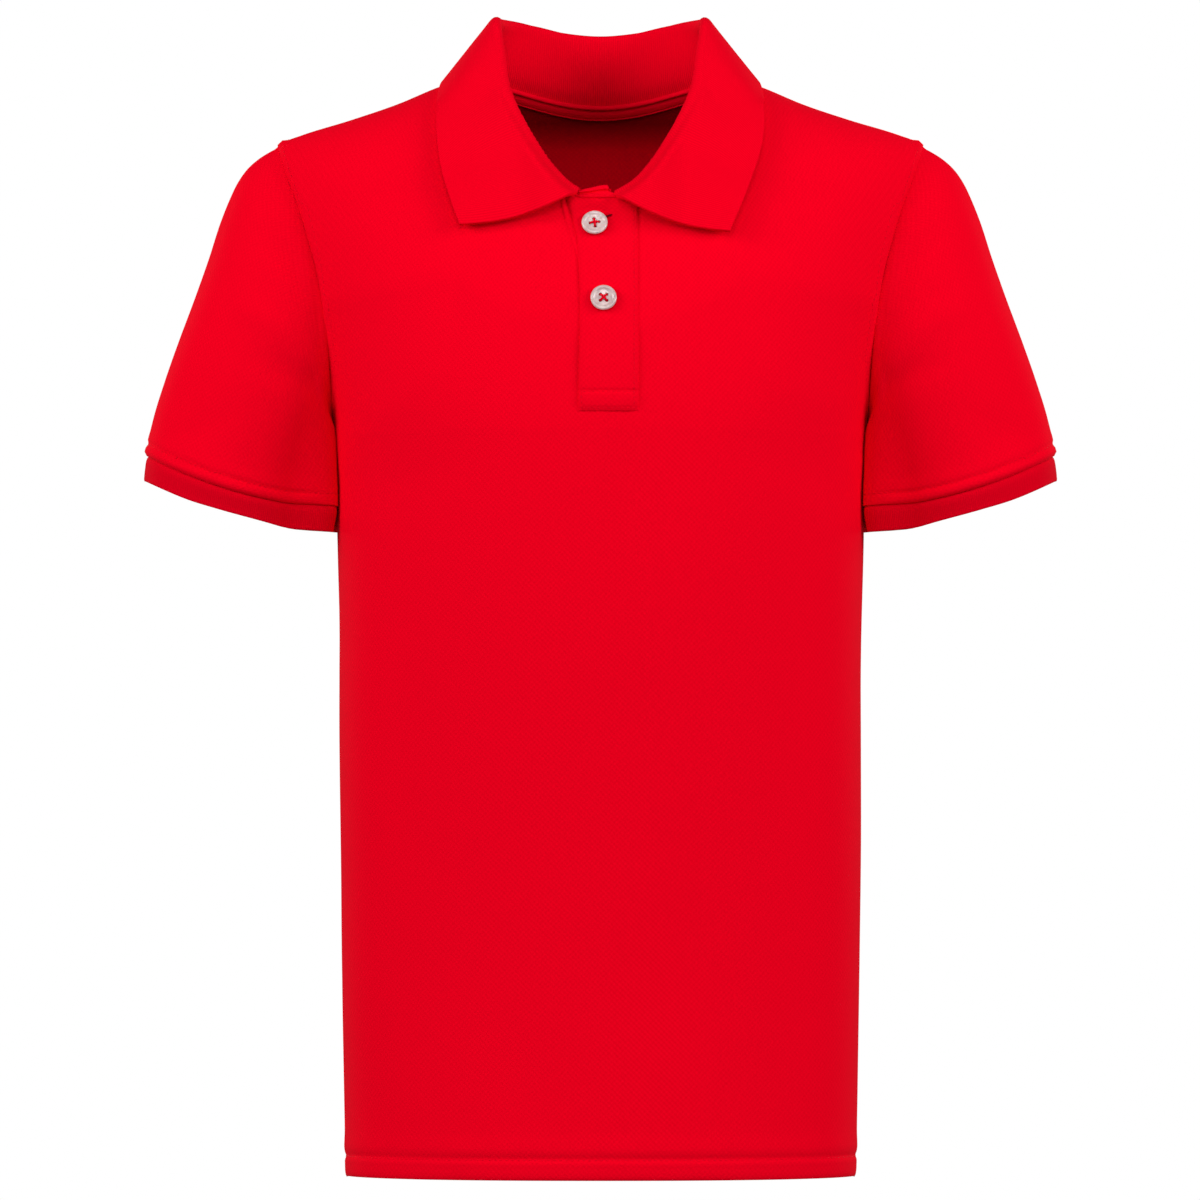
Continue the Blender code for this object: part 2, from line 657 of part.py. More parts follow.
def make_collar():
    seam, fold, edge = collar_stations()
    tangent = np.gradient(fold, axis=0)
    outward = np.cross(tangent, [0, 0, 1.0])
    outward[:, 2] = 0
    outward = unit(outward)
    if outward[0, 1] > 0:
        outward = -outward
    # Half way round the outward direction is that of the loop, away from the neck's middle.
    flipped = np.einsum("ij,ij->i", outward, (fold - NECK_MIDDLE) * [1, 1, 0]) < 0
    outward[flipped] *= -1
    rise = unit(fold - seam)
    tall = np.linalg.norm(fold - seam, axis=1)
    stations = []
    for i in range(len(fold)):
        r = FOLD_RADIUS
        up = unit(rise[i] * 0.5 + np.array([0, 0, 0.5]))
        hub = fold[i] - up * r + outward[i] * r
        side_on = math.exp(-(((seam[i, 1] + 15) / 12) ** 2))
        foot = FOOT_BACK + (FOOT_FRONT - FOOT_BACK) * smooth(-seam[i, 1] / 12) + side_on
        start = seam[i] + rise[i] * foot
        top = hub - outward[i] * r
        bow = STAND_SWELL * min(1, tall[i] / 30)
        line = [start + (top - start) * t + outward[i] * bow * math.sin(math.pi * t) for t in STAND_SHARES]
        for turn in FOLD_TURNS:
            t = math.radians(turn)
            line.append(hub - outward[i] * r * math.cos(t) + up * r * math.sin(t))
        leave = line[-1]
        across = edge[i] - leave
        end = max(0.0, 1 - i / LEAF_END) + max(0.0, 1 - (len(fold) - 1 - i) / LEAF_END)
        swell = unit(np.cross(np.cross(across, np.array([0, 0, 1.0])), across))
        if swell[2] < 0:
            swell = -swell
        high = LEAF_SWELL * (1 - end) * (1 - SIDE_TAUT * math.exp(-(((fold[i, 1] + 2) / 16) ** 2)))
        for t in LEAF_SHARES:
            bulge = math.sin(math.pi * t)
            point = leave + across * t + swell * high * bulge
            point = point + np.array([0, 0, -FRONT_EDGE_SAG]) * bulge * end
            room = COLLAR_WALL / 2 + LEAF_ROOM + LEAF_ROOM_BAND * smooth((30 - abs(point[0])) / 9)
            if point[1] < -28:
                point[1] = min(point[1], float(trunk_y(point[0], point[2], -1)) - room)
            line.append(point)
        stations.append(line)
    sheet = np.array(stations)
    face = normals(sheet)
    hub_side = np.einsum("ijk,ijk->", face[:, 9:], (sheet[:, 9:] - sheet[:, 2:3]))
    if hub_side < 0:
        face = -face
    half = COLLAR_WALL / 2
    points, faces = wall(sheet + face * half, sheet - face * half)
    add_piece("collar", points, faces, "ribbed_knit")


def strip(left, right, rows, near):
    """A band laid over the front: near is its inner face's distance out of the trunk's face."""
    outer = np.empty((len(rows), BAND_COLUMNS, 3))
    for r, z in enumerate(rows):
        x = np.linspace(float(curve(left, z)[0]), right, BAND_COLUMNS)
        top = np.minimum(z, neck_z(x, -1) + BAND_LEAD)
        outer[r] = np.column_stack([x, trunk_y(x, top, -1), top])
    face = normals(outer)
    if face[2, BAND_COLUMNS // 2, 1] > 0:
        face = -face
    return outer + face * (near + PLACKET_WALL), outer + face * near, face


def make_placket():
    box = [BAND_BOX - 2.5, BAND_FOOT + 1.0, BAND_FOOT]
    rows = np.concatenate([[BAND_TOP], np.linspace(-66.0, BAND_BOX, BAND_ROWS - 3), box])[::-1]
    outer, inner, face = strip(BAND_LEFT, BAND_RIGHT, rows, BAND_NEAR)
    soft = np.zeros(outer.shape[:2])
    soft[:, 0], soft[:, -1], soft[0] = -BAND_SOFT, -BAND_SOFT, -BAND_SOFT
    outer += face * soft[..., None]
    add_piece("placket_top", *wall(outer, inner), "knit")

    left = np.array(SLOT_LEFT) + [0, GAP]
    rows = np.linspace(UNDER_FOOT, BAND_TOP, BAND_ROWS)
    outer, inner, face = strip(left, SLOT_RIGHT - GAP, rows, -PLACKET_WALL)
    add_piece("placket_under", *wall(outer, inner), "knit")


def make_tape():
    """The tape inside the back of the neck, laid on the panel's inner face."""
    x = np.linspace(-TAPE_HALF, TAPE_HALF, 25)
    rows = []
    for down in TAPE_ROWS:
        z = neck_z(x, 1) - down
        rows.append(np.column_stack([x, trunk_y(x, z, 1), z]))
    grid = np.array(rows)
    face = normals(grid)
    if face[1, 12, 1] < 0:
        face = -face
    near = BODY_WALL + TAPE_NEAR
    add_piece("neck_tape", *wall(grid - face * near, grid - face * (near + TAPE_WALL)), "woven_tape")


def button_place(x, z):
    """Centre and directions (right, up, out) of a button that lies on the band at x, z."""
    d = 0.5
    y = float(trunk_y(x, z, -1))
    slope_x = float(trunk_y(x + d, z, -1) - trunk_y(x - d, z, -1)) / (2 * d)
    slope_z = float(trunk_y(x, z + d, -1) - trunk_y(x, z - d, -1)) / (2 * d)
    out = unit(np.array([slope_x, -1.0, slope_z]))
    right = unit(np.cross([0, 0, 1.0], out))
    stand = BAND_NEAR + PLACKET_WALL + BUTTON_STAND
    return np.array([x, y, z]) + out * stand, np.array([right, np.cross(out, right), out])


def make_button(name, x, z, turn):
    """A four-hole button with a raised rim, square to the band under it."""
    n = BUTTON_STEPS
    points = [(0.0, 0.0, 0.0)]
    for radius, high in BUTTON_PROFILE:
        points += [(px, py, high) for px, py in circle(radius, n)]
    points.append((0.0, 0.0, BUTTON_MIDDLE))
    faces = []
    top = 1 + (len(BUTTON_PROFILE) - 1) * n
    for k in range(n):
        m = (k + 1) % n
        faces.append((0, 1 + m, 1 + k))
        for first in range(1, top, n):
            a, b = first + k, first + m
            faces += [(a, b, b + n), (a, b + n, a + n)]
        faces.append((top + k, top + m, len(points) - 1))
    centre, axes = button_place(x, z)
    button = add_piece(name, centre + np.array(points) @ axes, np.array(faces), "button_plastic")
    for quarter in range(4):
        angle = math.radians(turn + 90 * quarter)
        hole = (HOLE_CIRCLE * math.cos(angle), HOLE_CIRCLE * math.sin(angle))
        cut_hole(button, hole, centre, axes)


def circle(radius, steps):
    return [(radius * math.cos(2 * math.pi * k / steps), radius * math.sin(2 * math.pi * k / steps))
            for k in range(steps)]


def cut_hole(button, hole, centre, axes):
    n = HOLE_STEPS
    ring = [(hole[0] + px, hole[1] + py) for px, py in circle(HOLE_RADIUS, n)]
    points = np.array([(px, py, high) for high in (-2.0, 5.0) for px, py in ring])
    faces = [tuple(range(n))[::-1], tuple(range(n, 2 * n))]
    faces += [(k, (k + 1) % n, n + (k + 1) % n, n + k) for k in range(n)]
    mesh = bpy.data.meshes.new("hole")
    mesh.from_pydata(((centre + points @ axes) * MM).tolist(), [], faces)
    cutter = bpy.data.objects.new(f"hole_{button.name}", mesh)
    bpy.context.scene.collection.objects.link(cutter)
    cutter.hide_render = True
    cutter.display_type = "WIRE"
    cut = button.modifiers.new("hole", "BOOLEAN")
    cut.operation, cut.solver, cut.object = "DIFFERENCE", "EXACT", cutter


clear_scene()
make_body_and_sleeves()
make_collar()
make_placket()
make_tape()
for button in BUTTONS:
    make_button(*button)
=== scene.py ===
import math

import bmesh
import bpy
import numpy as np
from mathutils import Matrix, Vector


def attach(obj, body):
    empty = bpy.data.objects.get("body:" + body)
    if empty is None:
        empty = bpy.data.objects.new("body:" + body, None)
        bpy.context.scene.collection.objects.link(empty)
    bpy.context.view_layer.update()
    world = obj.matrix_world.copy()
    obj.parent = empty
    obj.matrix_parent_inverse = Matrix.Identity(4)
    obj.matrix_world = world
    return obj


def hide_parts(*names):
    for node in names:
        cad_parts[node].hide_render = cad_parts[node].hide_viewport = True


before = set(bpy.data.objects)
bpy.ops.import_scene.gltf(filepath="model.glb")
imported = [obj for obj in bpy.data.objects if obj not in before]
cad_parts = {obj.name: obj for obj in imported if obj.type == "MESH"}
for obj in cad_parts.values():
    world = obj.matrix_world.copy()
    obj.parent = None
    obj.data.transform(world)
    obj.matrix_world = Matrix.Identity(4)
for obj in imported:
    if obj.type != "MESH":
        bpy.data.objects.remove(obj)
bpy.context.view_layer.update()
mm = 0.001

# The form repeats the solids' own tables, in millimetres from the high points of the shoulders.
trunkRows = (  # z, half width, front depth, back depth
    (-556, 127.4, 84.5, 83.0), (-500, 128.2, 83.0, 83.0), (-450, 129.2, 82.5, 83.5),
    (-390, 129.8, 84.5, 83.5), (-330, 130.0, 88.5, 81.5), (-280, 130.3, 92.0, 80.0),
    (-232, 131.4, 94.5, 81.0), (-200, 132.0, 95.5, 83.0), (-178, 133.0, 95.5, 84.5),
    (-150, 140.0, 94.0, 85.5), (-114, 148.0, 86.0, 84.5), (-80, 156.5, 71.5, 79.5),
    (-60, 161.0, 61.5, 73.0), (-36, 166.0, 52.5, 64.0), (-12, 169.0, 44.0, 51.0),
    (10, 171.0, 38.0, 46.0),
)
ridgeRows = (  # x, z of the shoulder line, how far below it the cloth turns over
    (0, 22, 60), (24, 18.6, 60), (46, 10.2, 57), (64, 0, 52), (81.5, -6, 47),
    (100.5, -14, 43), (124, -22, 40), (150, -30, 37), (161.5, -34.5, 36), (172, -40, 35),
)
armholeRows = (  # x, y, z on the front, shoulder tip down to the underarm
    (161.5, 0.0, -34.5), (159.9, -9.6, -40.3), (157.1, -17.6, -48.6), (151.0, -27.6, -64.4),
    (145.2, -34.6, -82.6), (140.6, -38.6, -99.6), (137.9, -40.0, -115.5), (135.8, -39.4, -133.3),
    (134.4, -35.4, -149.0), (133.5, -27.0, -163.0), (133.0, -15.0, -173.0), (133.0, 0.0, -178.0),
)
form = {
    "squareness": 2.5,          # power of the trunk's level section; 2 is an ellipse
    "depthShare": 0.68,         # depth against width, where a length round the section is measured
    "neckHalf": 64.0,
    "neckFrontDrop": 64.6,
    "neckBackDrop": 11.5,
    "neckShare": 0.43,          # share of the half panel whose top is the neck edge
    "underarmZ": -178.0,
    "tip": (161.5, -34.5),
    "armholeBack": 0.96,
}


def curveAt(rows, at):
    # cubic through the rows, whose first column rises
    table = np.asarray(rows, float)
    t, values = table[:, 0], table[:, 1:]
    step = np.diff(t)
    slope = np.diff(values, axis=0) / step[:, None]
    tangent = np.empty_like(values)
    tangent[0], tangent[-1] = slope[0], slope[-1]
    w = step[:, None]
    tangent[1:-1] = (slope[:-1] * w[1:] + slope[1:] * w[:-1]) / (w[1:] + w[:-1])
    at = np.clip(np.asarray(at, float), t[0], t[-1])
    i = np.clip(np.searchsorted(t, at, side="right") - 1, 0, len(t) - 2)
    s = ((at - t[i]) / step[i])[..., None]
    h = step[i][..., None]
    a, b = values[i], values[i + 1]
    p, q = tangent[i] * h, tangent[i + 1] * h
    return a + s * p + s**2 * (3 * (b - a) - 2 * p - q) + s**3 * (2 * (a - b) + p + q)


def byLength(points):
    points = np.asarray(points, float)
    run = np.concatenate([[0], np.cumsum(np.linalg.norm(np.diff(points, axis=0), axis=1))])
    return np.column_stack([run, points])


def unit(v):
    return v / np.maximum(np.linalg.norm(v, axis=-1, keepdims=True), 1e-12)


def smooth(t):
    t = np.clip(t, 0, 1)
    return t * t * (3 - 2 * t)


def trunkY(x, z, side):
    size = curveAt(trunkRows, z)
    half, depth = size[..., 0], np.where(side < 0, size[..., 1], size[..., 2])
    ridge = curveAt(ridgeRows, np.abs(x))
    t = np.clip((ridge[..., 0] - z) / ridge[..., 1], 0, 1)
    k = form["squareness"]
    level = (1 - np.clip(np.abs(x) / half, 0, 1) ** k) ** (1 / k)
    return side * depth * level * np.sqrt(1 - (1 - t) ** 2)


def levelShare(u):
    # x and y on the unit section at a share of its length from the centre to the side
    turn = np.linspace(0, math.pi / 2, 900)
    power = 2 / form["squareness"]
    x, y = np.sin(turn) ** power, np.cos(turn) ** power
    run = np.concatenate([[0], np.cumsum(np.hypot(np.diff(x), form["depthShare"] * np.diff(y)))])
    return np.interp(u * run[-1], run, x), np.interp(u * run[-1], run, y)


def neckZ(x, side):
    share = np.clip(1 - (np.abs(x) / form["neckHalf"]) ** 2, 0, 1)
    return np.where(np.asarray(side) < 0, -form["neckFrontDrop"] * np.sqrt(share),
                    -form["neckBackDrop"] * share**1.8)


def armholeHalf(side, steps):
    rows = np.array(armholeRows[::-1], float)
    rows[:, 1] *= 1 if side < 0 else -form["armholeBack"]
    ghost = rows * [1, -1, 1]
    table = byLength(np.vstack([ghost[2:0:-1], rows, ghost[-2:-4:-1]]))
    start, stop = table[2, 0], table[-3, 0]
    even = np.linspace(0, 1, steps + 1)
    bunched = (1 - np.cos(math.pi * even)) / 2
    points = curveAt(table, start + (stop - start) * (0.45 * even + 0.55 * bunched))
    points[0], points[-1] = rows[0], rows[-1]
    return points


def faceOut(grid, towards):
    # unit normals of a grid of points, on the side that `towards` says
    n = unit(np.cross(np.gradient(grid, axis=1), np.gradient(grid, axis=0)))
    r, c = grid.shape[0] // 2, grid.shape[1] // 2
    return n if n[r, c] @ np.asarray(towards, float) > 0 else -n


def foldHeight(points, folds):
    # soft troughs and ridges, each tapering along its line, on the points' x and z
    height = np.zeros(points.shape[:-1])
    for x0, z0, x1, z1, high, half in folds:
        line = np.array([x1 - x0, z1 - z0], float)
        away = points[..., [0, 2]] - [x0, z0]
        s = away @ line / (line @ line)
        bow = 0.06 * np.linalg.norm(line) * np.sin(math.pi * np.clip(s, 0, 1))
        across = (away[..., 0] * line[1] - away[..., 1] * line[0]) / np.linalg.norm(line) - bow
        ends = np.exp(-np.clip(np.abs(s - 0.5) - 0.5, 0, None) ** 2 * (line @ line) / half**2)
        fade = 0.55 + 0.45 * np.sin(math.pi * np.clip(s, 0, 1))
        height += high * np.exp(-((across / half) ** 2)) * ends * fade
    return height


def drift(a, b, scale, seed):
    # slow even unevenness from a few sines, so that no two stretches are alike
    rng = np.random.default_rng(seed)
    total = np.zeros(np.broadcast(a, b).shape)
    waves = 7
    for _ in range(waves):
        fa, fb, p = rng.normal(0, 1 / scale), rng.normal(0, 1 / scale), rng.uniform(0, 2 * math.pi)
        total = total + np.sin(fa * a + fb * b + p) / waves
    return total


def addObject(name, data):
    made = bpy.data.objects.new(name, data)
    bpy.context.scene.collection.objects.link(made)
    return made


def meshFrom(bm, name, soft=False):
    for face in bm.faces:
        face.smooth = face.smooth or soft
    mesh = bpy.data.meshes.new(name)
    bm.to_mesh(mesh)
    bm.free()
    return mesh


def softEdge(piece, width, angle):
    # rounds the edges that are sharper than the angle
    bevel = piece.modifiers.new("softEdge", "BEVEL")
    bevel.width, bevel.segments = width * mm, 2
    bevel.limit_method, bevel.angle_limit = "ANGLE", math.radians(angle)


# Finishes. Each is named for its real material, or for the painted shade it carries; patterns are in
# millimetres along the cloth.
def linearColour(hexText):
    parts = [int(hexText[i:i + 2], 16) / 255 for i in (1, 3, 5)]
    return tuple(c / 12.92 if c <= 0.04045 else ((c + 0.055) / 1.055) ** 2.4 for c in parts) + (1.0,)


def addNode(tree, kind, settings=None, links=None):
    made = tree.nodes.new("ShaderNode" + kind)
    for key, value in (settings or {}).items():
        if isinstance(key, int) or key in made.inputs:
            made.inputs[key].default_value = value
        else:
            setattr(made, key, value)
    for key, socket in (links or {}).items():
        tree.links.new(socket, made.inputs[key])
    return made.outputs


def newFinish(name, settings):
    made = bpy.data.materials.new(name)
    made.use_nodes = True
    tree = made.node_tree
    shader = tree.nodes["Principled BSDF"]
    for key, value in settings.items():
        shader.inputs[key].default_value = value
    return made, tree, shader


def clothWave(tree, along, pitch):
    # cosine of one turn per pitch, in millimetres along the cloth
    turns = addNode(tree, "Math", {"operation": "MULTIPLY", 1: 2 * math.pi / (pitch * mm)}, {0: along})
    return addNode(tree, "Math", {"operation": "COSINE"}, {0: turns[0]})[0]


def clothPlace(tree):
    uv = addNode(tree, "UVMap", {"uv_map": "cloth"})["UV"]
    xyz = addNode(tree, "SeparateXYZ", links={0: uv})
    return uv, xyz["X"], xyz["Y"]


def layered(tree, ground, layers):
    # each layer of a pattern is added to the ground with its own weight
    for value, weight in layers:
        ground = addNode(tree, "Math", {"operation": "MULTIPLY_ADD", 1: weight}, {0: value, 2: ground})[0]
    return ground


def tintAndDent(tree, shader, height, low, high, deep, face, strength, depth):
    # the same relief sets the colour and dents the surface; on the cloth and thread its darker pits are
    # painted shade, on the button its darker parts are pearl streaks
    share = addNode(tree, "MapRange", {"From Min": low, "From Max": high}, {"Value": height})[0]
    mix = addNode(tree, "Mix", {"data_type": "RGBA", 6: linearColour(deep), 7: linearColour(face)},
                  {0: share})
    bump = addNode(tree, "Bump", {"Strength": strength, "Distance": depth * mm}, {"Height": height})
    tree.links.new(mix[2], shader.inputs["Base Color"])
    tree.links.new(bump["Normal"], shader.inputs["Normal"])


clothLook = {   # the dyed cotton takes its own red into every reflection, so gloss and nap are red too
    "Roughness": 0.95, "Specular IOR Level": 0.06, "Specular Tint": linearColour("#FF3040"),
    "Sheen Weight": 0.05, "Sheen Roughness": 0.5, "Sheen Tint": linearColour("#FF0018"),
}
knitFinish = {
    "face": "#F3001F",      # the yarn on the face of a loop
    "pit": "#E6001B",       # the shade in the dimples
    "dotPitch": 2.7,        # mm; rows of dots lie half a pitch apart, so neighbours are 1.9 mm away
    "loopPitch": 0.9,       # mm between loops
    "depth": 0.08,          # mm
    "shadeFrom": -0.034,    # on the reverse, the height in metres where the painted shade begins
    "shadeTo": -0.021,      # and where it is full
    "shadeLeft": 0.3,       # and how much light is left there
}


def piqueKnit(name, reverseWithPaintedShade):
    # red cotton pique: staggered dimples over fine loops, dyed in the piece, matt with a short nap;
    # its reverse carries painted shade, darker towards the back neck seam, for the deep shade under a collar
    f = knitFinish
    made, tree, shader = newFinish(name, clothLook)
    uv, across, up = clothPlace(tree)
    dots, loops = [addNode(tree, "Math", {"operation": "MULTIPLY"},
                           {0: clothWave(tree, across, pitch), 1: clothWave(tree, up, pitch)})[0]
                   for pitch in (f["dotPitch"], f["loopPitch"])]
    lint = addNode(tree, "TexNoise", {"Scale": 900.0, "Detail": 3.0, "Roughness": 0.7},
                   {"Vector": uv})["Fac"]
    dye = addNode(tree, "TexNoise", {"Scale": 9.0, "Detail": 5.0, "Roughness": 0.65},
                  {"Vector": uv})["Fac"]
    height = layered(tree, dots, [(loops, 0.2), (lint, 0.9), (dye, 0.8)])
    tintAndDent(tree, shader, height, -1.0, 2.4, f["pit"], f["face"], 0.4, f["depth"])
    # painted shade: the reverse is darkened by height, most just under the back neck seam
    if reverseWithPaintedShade:
        dyed = shader.inputs["Base Color"].links[0].from_socket
        place = addNode(tree, "TexCoord")["Object"]
        level = addNode(tree, "SeparateXYZ", links={0: place})["Z"]
        paintedShadeFactor = addNode(tree, "MapRange", {"From Min": f["shadeFrom"], "From Max": f["shadeTo"],
                                          "To Min": 1.0, "To Max": f["shadeLeft"]}, {"Value": level})[0]
        shaded = addNode(tree, "Mix", {"data_type": "RGBA", "blend_type": "MULTIPLY", 0: 1.0},
                         {6: dyed, 7: paintedShadeFactor})
        tree.links.new(shaded[2], shader.inputs["Base Color"])
    return made


ribFinish = {
    "collar": ("#F2001F", "#DE001A"),       # the yarn's face and the shade between the ribs
    "cuff": ("#E6001D", "#CE0019"),         # the collar's colours darkened: painted shade on the cuffs
    "ribPitch": 1.15,       # mm between ribs
    "coursePitch": 0.8,     # mm between courses
    "depth": 0.07,          # mm
}


def flatKnitRib(name, face, pit, grip):
    # flat knit of the collar and cuffs: a fine upright rib, closer and smoother than the pique,
    # which stands out more where the neck seam draws it in
    f = ribFinish
    made, tree, shader = newFinish(name, clothLook)
    uv, across, up = clothPlace(tree)
    sway = addNode(tree, "TexNoise", {"Scale": 60.0, "Detail": 2.0}, {"Vector": uv})["Fac"]
    place = layered(tree, across, [(sway, 0.0006)])
    drawn = addNode(tree, "MapRange", {"From Min": 0.001, "From Max": 0.012, "To Min": grip, "To Max": 1.0},
                    {"Value": up})[0]
    ribs = addNode(tree, "Math", {"operation": "MULTIPLY"},
                   {0: clothWave(tree, place, f["ribPitch"]), 1: drawn})[0]
    lint = addNode(tree, "TexNoise", {"Scale": 800.0, "Detail": 3.0, "Roughness": 0.7},
                   {"Vector": uv})["Fac"]
    height = layered(tree, ribs, [(clothWave(tree, up, f["coursePitch"]), 0.25), (lint, 1.0)])
    tintAndDent(tree, shader, height, -1.2, 2.0, pit, face, 0.3, f["depth"])
    return made


def twillTape():
    # cotton twill tape: fine slanting ribs, flatter than the knit
    made, tree, shader = newFinish("redCottonTwillTape", clothLook)
    uv, across, up = clothPlace(tree)
    slant = addNode(tree, "Math", {"operation": "ADD"}, {0: across, 1: up})[0]
    lint = addNode(tree, "TexNoise", {"Scale": 700.0, "Detail": 2.0}, {"Vector": uv})["Fac"]
    height = layered(tree, clothWave(tree, slant, 1.1), [(lint, 0.8)])
    tintAndDent(tree, shader, height, -1.0, 1.8, "#E6001C", "#FA0024", 0.3, 0.06)
    return made


def sewingThreadAndPaintedSlitShade(name, pit, face):
    # spun polyester thread: a slanting twist, a little glossier than the cloth; the buttonhole's near-black
    # copy is painted shade
    made, tree, shader = newFinish(name, {
        "Roughness": 0.6, "Specular IOR Level": 0.25, "Specular Tint": linearColour("#FF6070"),
    })
    place = addNode(tree, "TexCoord")["Object"]
    twist = addNode(tree, "TexWave", {"bands_direction": "DIAGONAL", "Scale": 900.0, "Distortion": 1.5},
                    {"Vector": place})["Fac"]
    tintAndDent(tree, shader, twist, 0.0, 1.0, pit, face, 0.4, 0.05)
    return made


def pearlPolyester():
    # cast polyester button: pale pearl streaks under a polished surface
    made, tree, shader = newFinish("palePearlPolyester", {
        "Roughness": 0.3, "Coat Weight": 0.5, "Coat Roughness": 0.1, "IOR": 1.55,
        "Subsurface Weight": 0.1, "Subsurface Scale": 0.002,
    })
    place = addNode(tree, "TexCoord")["Object"]
    streak = addNode(tree, "TexNoise", {"Scale": 170.0, "Detail": 4.0, "Distortion": 1.6},
                     {"Vector": place})["Fac"]
    tintAndDent(tree, shader, streak, 0.3, 0.7, "#B89C9B", "#D9C2BF", 0.1, 0.04)
    return made


finishes = {
    "knit": piqueKnit("redCottonPique", False),
    # painted shade: the knit's inner faces darken towards the back neck seam
    "reverseWithPaintedShade": piqueKnit("redCottonPiqueReversePaintedShade", True),
    "rib": flatKnitRib("redFlatKnitRib", *ribFinish["collar"], 5.0),
    # painted shade: the cuffs' rib is the collar's rib in darker colours
    "cuffRibInPaintedShade": flatKnitRib("redFlatKnitCuffRibInPaintedShade", *ribFinish["cuff"], 1.0),
    "tape": twillTape(),
    "thread": sewingThreadAndPaintedSlitShade("redSewingThread", "#D0001A", "#F00022"),
    # painted shade: a near-black thread finish for the lens in the top buttonhole's slit
    "slit": sewingThreadAndPaintedSlitShade("redButtonholePaintedShade", "#4A0008", "#6E000C"),
    "button": pearlPolyester(),
}
print("finishes made")


def placePiece(name, mesh, finish, node=None):
    mesh.materials.append(finishes[finish])
    piece = addObject(name, mesh)
    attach(piece, "root")
    if node:
        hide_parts(node)
    return piece


def clothUv(points, run=None):
    # millimetres across from the middle column, and up from the first row
    steps = np.linalg.norm(np.diff(points, axis=0), axis=2)
    up = np.concatenate([np.zeros((1, points.shape[1])), np.cumsum(steps, axis=0)])
    steps = np.linalg.norm(np.diff(points, axis=1), axis=2)
    across = np.concatenate([np.zeros((points.shape[0], 1)), np.cumsum(steps, axis=1)], axis=1)
    middle = points.shape[1] // 2
    return np.stack([across - across[:, middle:middle + 1], up if run is None else run], axis=2)


def clothPiece(name, node, points, uv, finish, wall, outward, gone=None, joined=False, edge=0.3,
               hemRows=0):
    # a sheet of cloth as a grid, its outer face on the points and its thickness inside them;
    # gone are the faces of an opening, and hemRows are rows of a turned-up hem, twice as thick
    rows, columns = points.shape[:2]
    bm = bmesh.new()
    bmesh.ops.create_grid(bm, x_segments=columns - 1, y_segments=rows - 1, size=0.5)
    mesh = bpy.data.meshes.new(name)
    bm.to_mesh(mesh)
    mesh.vertices.foreach_set("co", (points * mm).ravel())
    corner = np.empty(len(mesh.loops), np.int32)
    mesh.loops.foreach_get("vertex_index", corner)
    layer = mesh.uv_layers.new(name="cloth")
    layer.uv.foreach_set("vector", (uv.reshape(-1, 2) * mm)[corner].ravel())
    bm.clear()
    bm.from_mesh(mesh)
    bm.faces.ensure_lookup_table()
    for face in bm.faces:
        face.smooth = True
    r, c = rows // 2, columns // 4
    bm.normal_update()
    if bm.faces[r * (columns - 1) + c].normal.dot(Vector(outward[r, c])) < 0:
        bmesh.ops.reverse_faces(bm, faces=bm.faces)
    if gone is not None:
        cut = [bm.faces[int(i)] for i in np.flatnonzero(gone.ravel())]
        bmesh.ops.delete(bm, geom=cut, context="FACES")
    if joined:
        bmesh.ops.remove_doubles(bm, verts=bm.verts, dist=0.002 * mm)
    bm.to_mesh(mesh)
    bm.free()
    piece = placePiece(name, mesh, finish, node)
    thick = piece.modifiers.new("wall", "SOLIDIFY")
    thick.thickness, thick.offset = wall * mm, -1.0
    # the knit's inner faces take the reverse finish, which carries painted shade under the back neck
    if finish == "knit":
        mesh.materials.append(finishes["reverseWithPaintedShade"])
        thick.material_offset = 1
    if hemRows:
        group = piece.vertex_groups.new(name="thick")
        group.add(list(range(rows * columns)), 0.5, "REPLACE")
        group.add(list(range(hemRows * columns)), 1.0, "REPLACE")
        thick.vertex_group = "thick"
        thick.thickness = wall * 2 * mm
    softEdge(piece, edge, 55)
    return piece


# Front and back panels.
bodyPanel = {
    "halfColumns": 60,
    "armholeSteps": 54,
    "hemZ": -550.3,
    "hemTall": 27.0,            # the lowest part, which has a row for each millimetre
    "underarmTall": 372.6,      # how far above the hem the armhole begins
    "hemLift": 3.9,             # the hem at the centre front above the hem at the sides
    "liftTall": 230.0,          # the height over which that evens out
    "hemRows": 11,              # rows of the turned-up hem
    "hemPucker": 0.30,
    "puckerAt": 12.0,           # above the hem, with the half height of the puckers
    "puckerHalf": 7.0,
    "underarmEase": 110,        # rounds of smoothing beside the underarm
    "easeRows": (20, 26),       # and how many rows below and above it they reach
    "armholeDent": 2.4,         # mm that the armhole may pull the cloth far from its edge
    "dentFrom": 0.55,           # share of the half panel where that pull begins
    "edgeFrom": 0.88,           # and where the rest of it begins
    "uneven": 0.55,
    "wall": 1.2,
    "slot": (-9.0, 16.0, -163.0),       # left, right and foot of the opening
    "hem": ((0, -0.55), (1.0, -0.1), (2.4, 0.12), (6.0, 0.22), (8.8, 0.12), (10.0, -0.38),
            (10.8, -0.42), (12.0, 0.0), (14.6, 0.42), (17.5, 0.34), (22.0, 0.08), (27.0, 0.0)),
    "armhole": ((0, -0.15), (0.8, 0.75), (2.0, 1.0), (3.4, 0.92), (4.4, 0.15), (5.1, -0.18),
                (6.2, 0.12), (8.0, 0.12), (11.0, 0.0)),
}
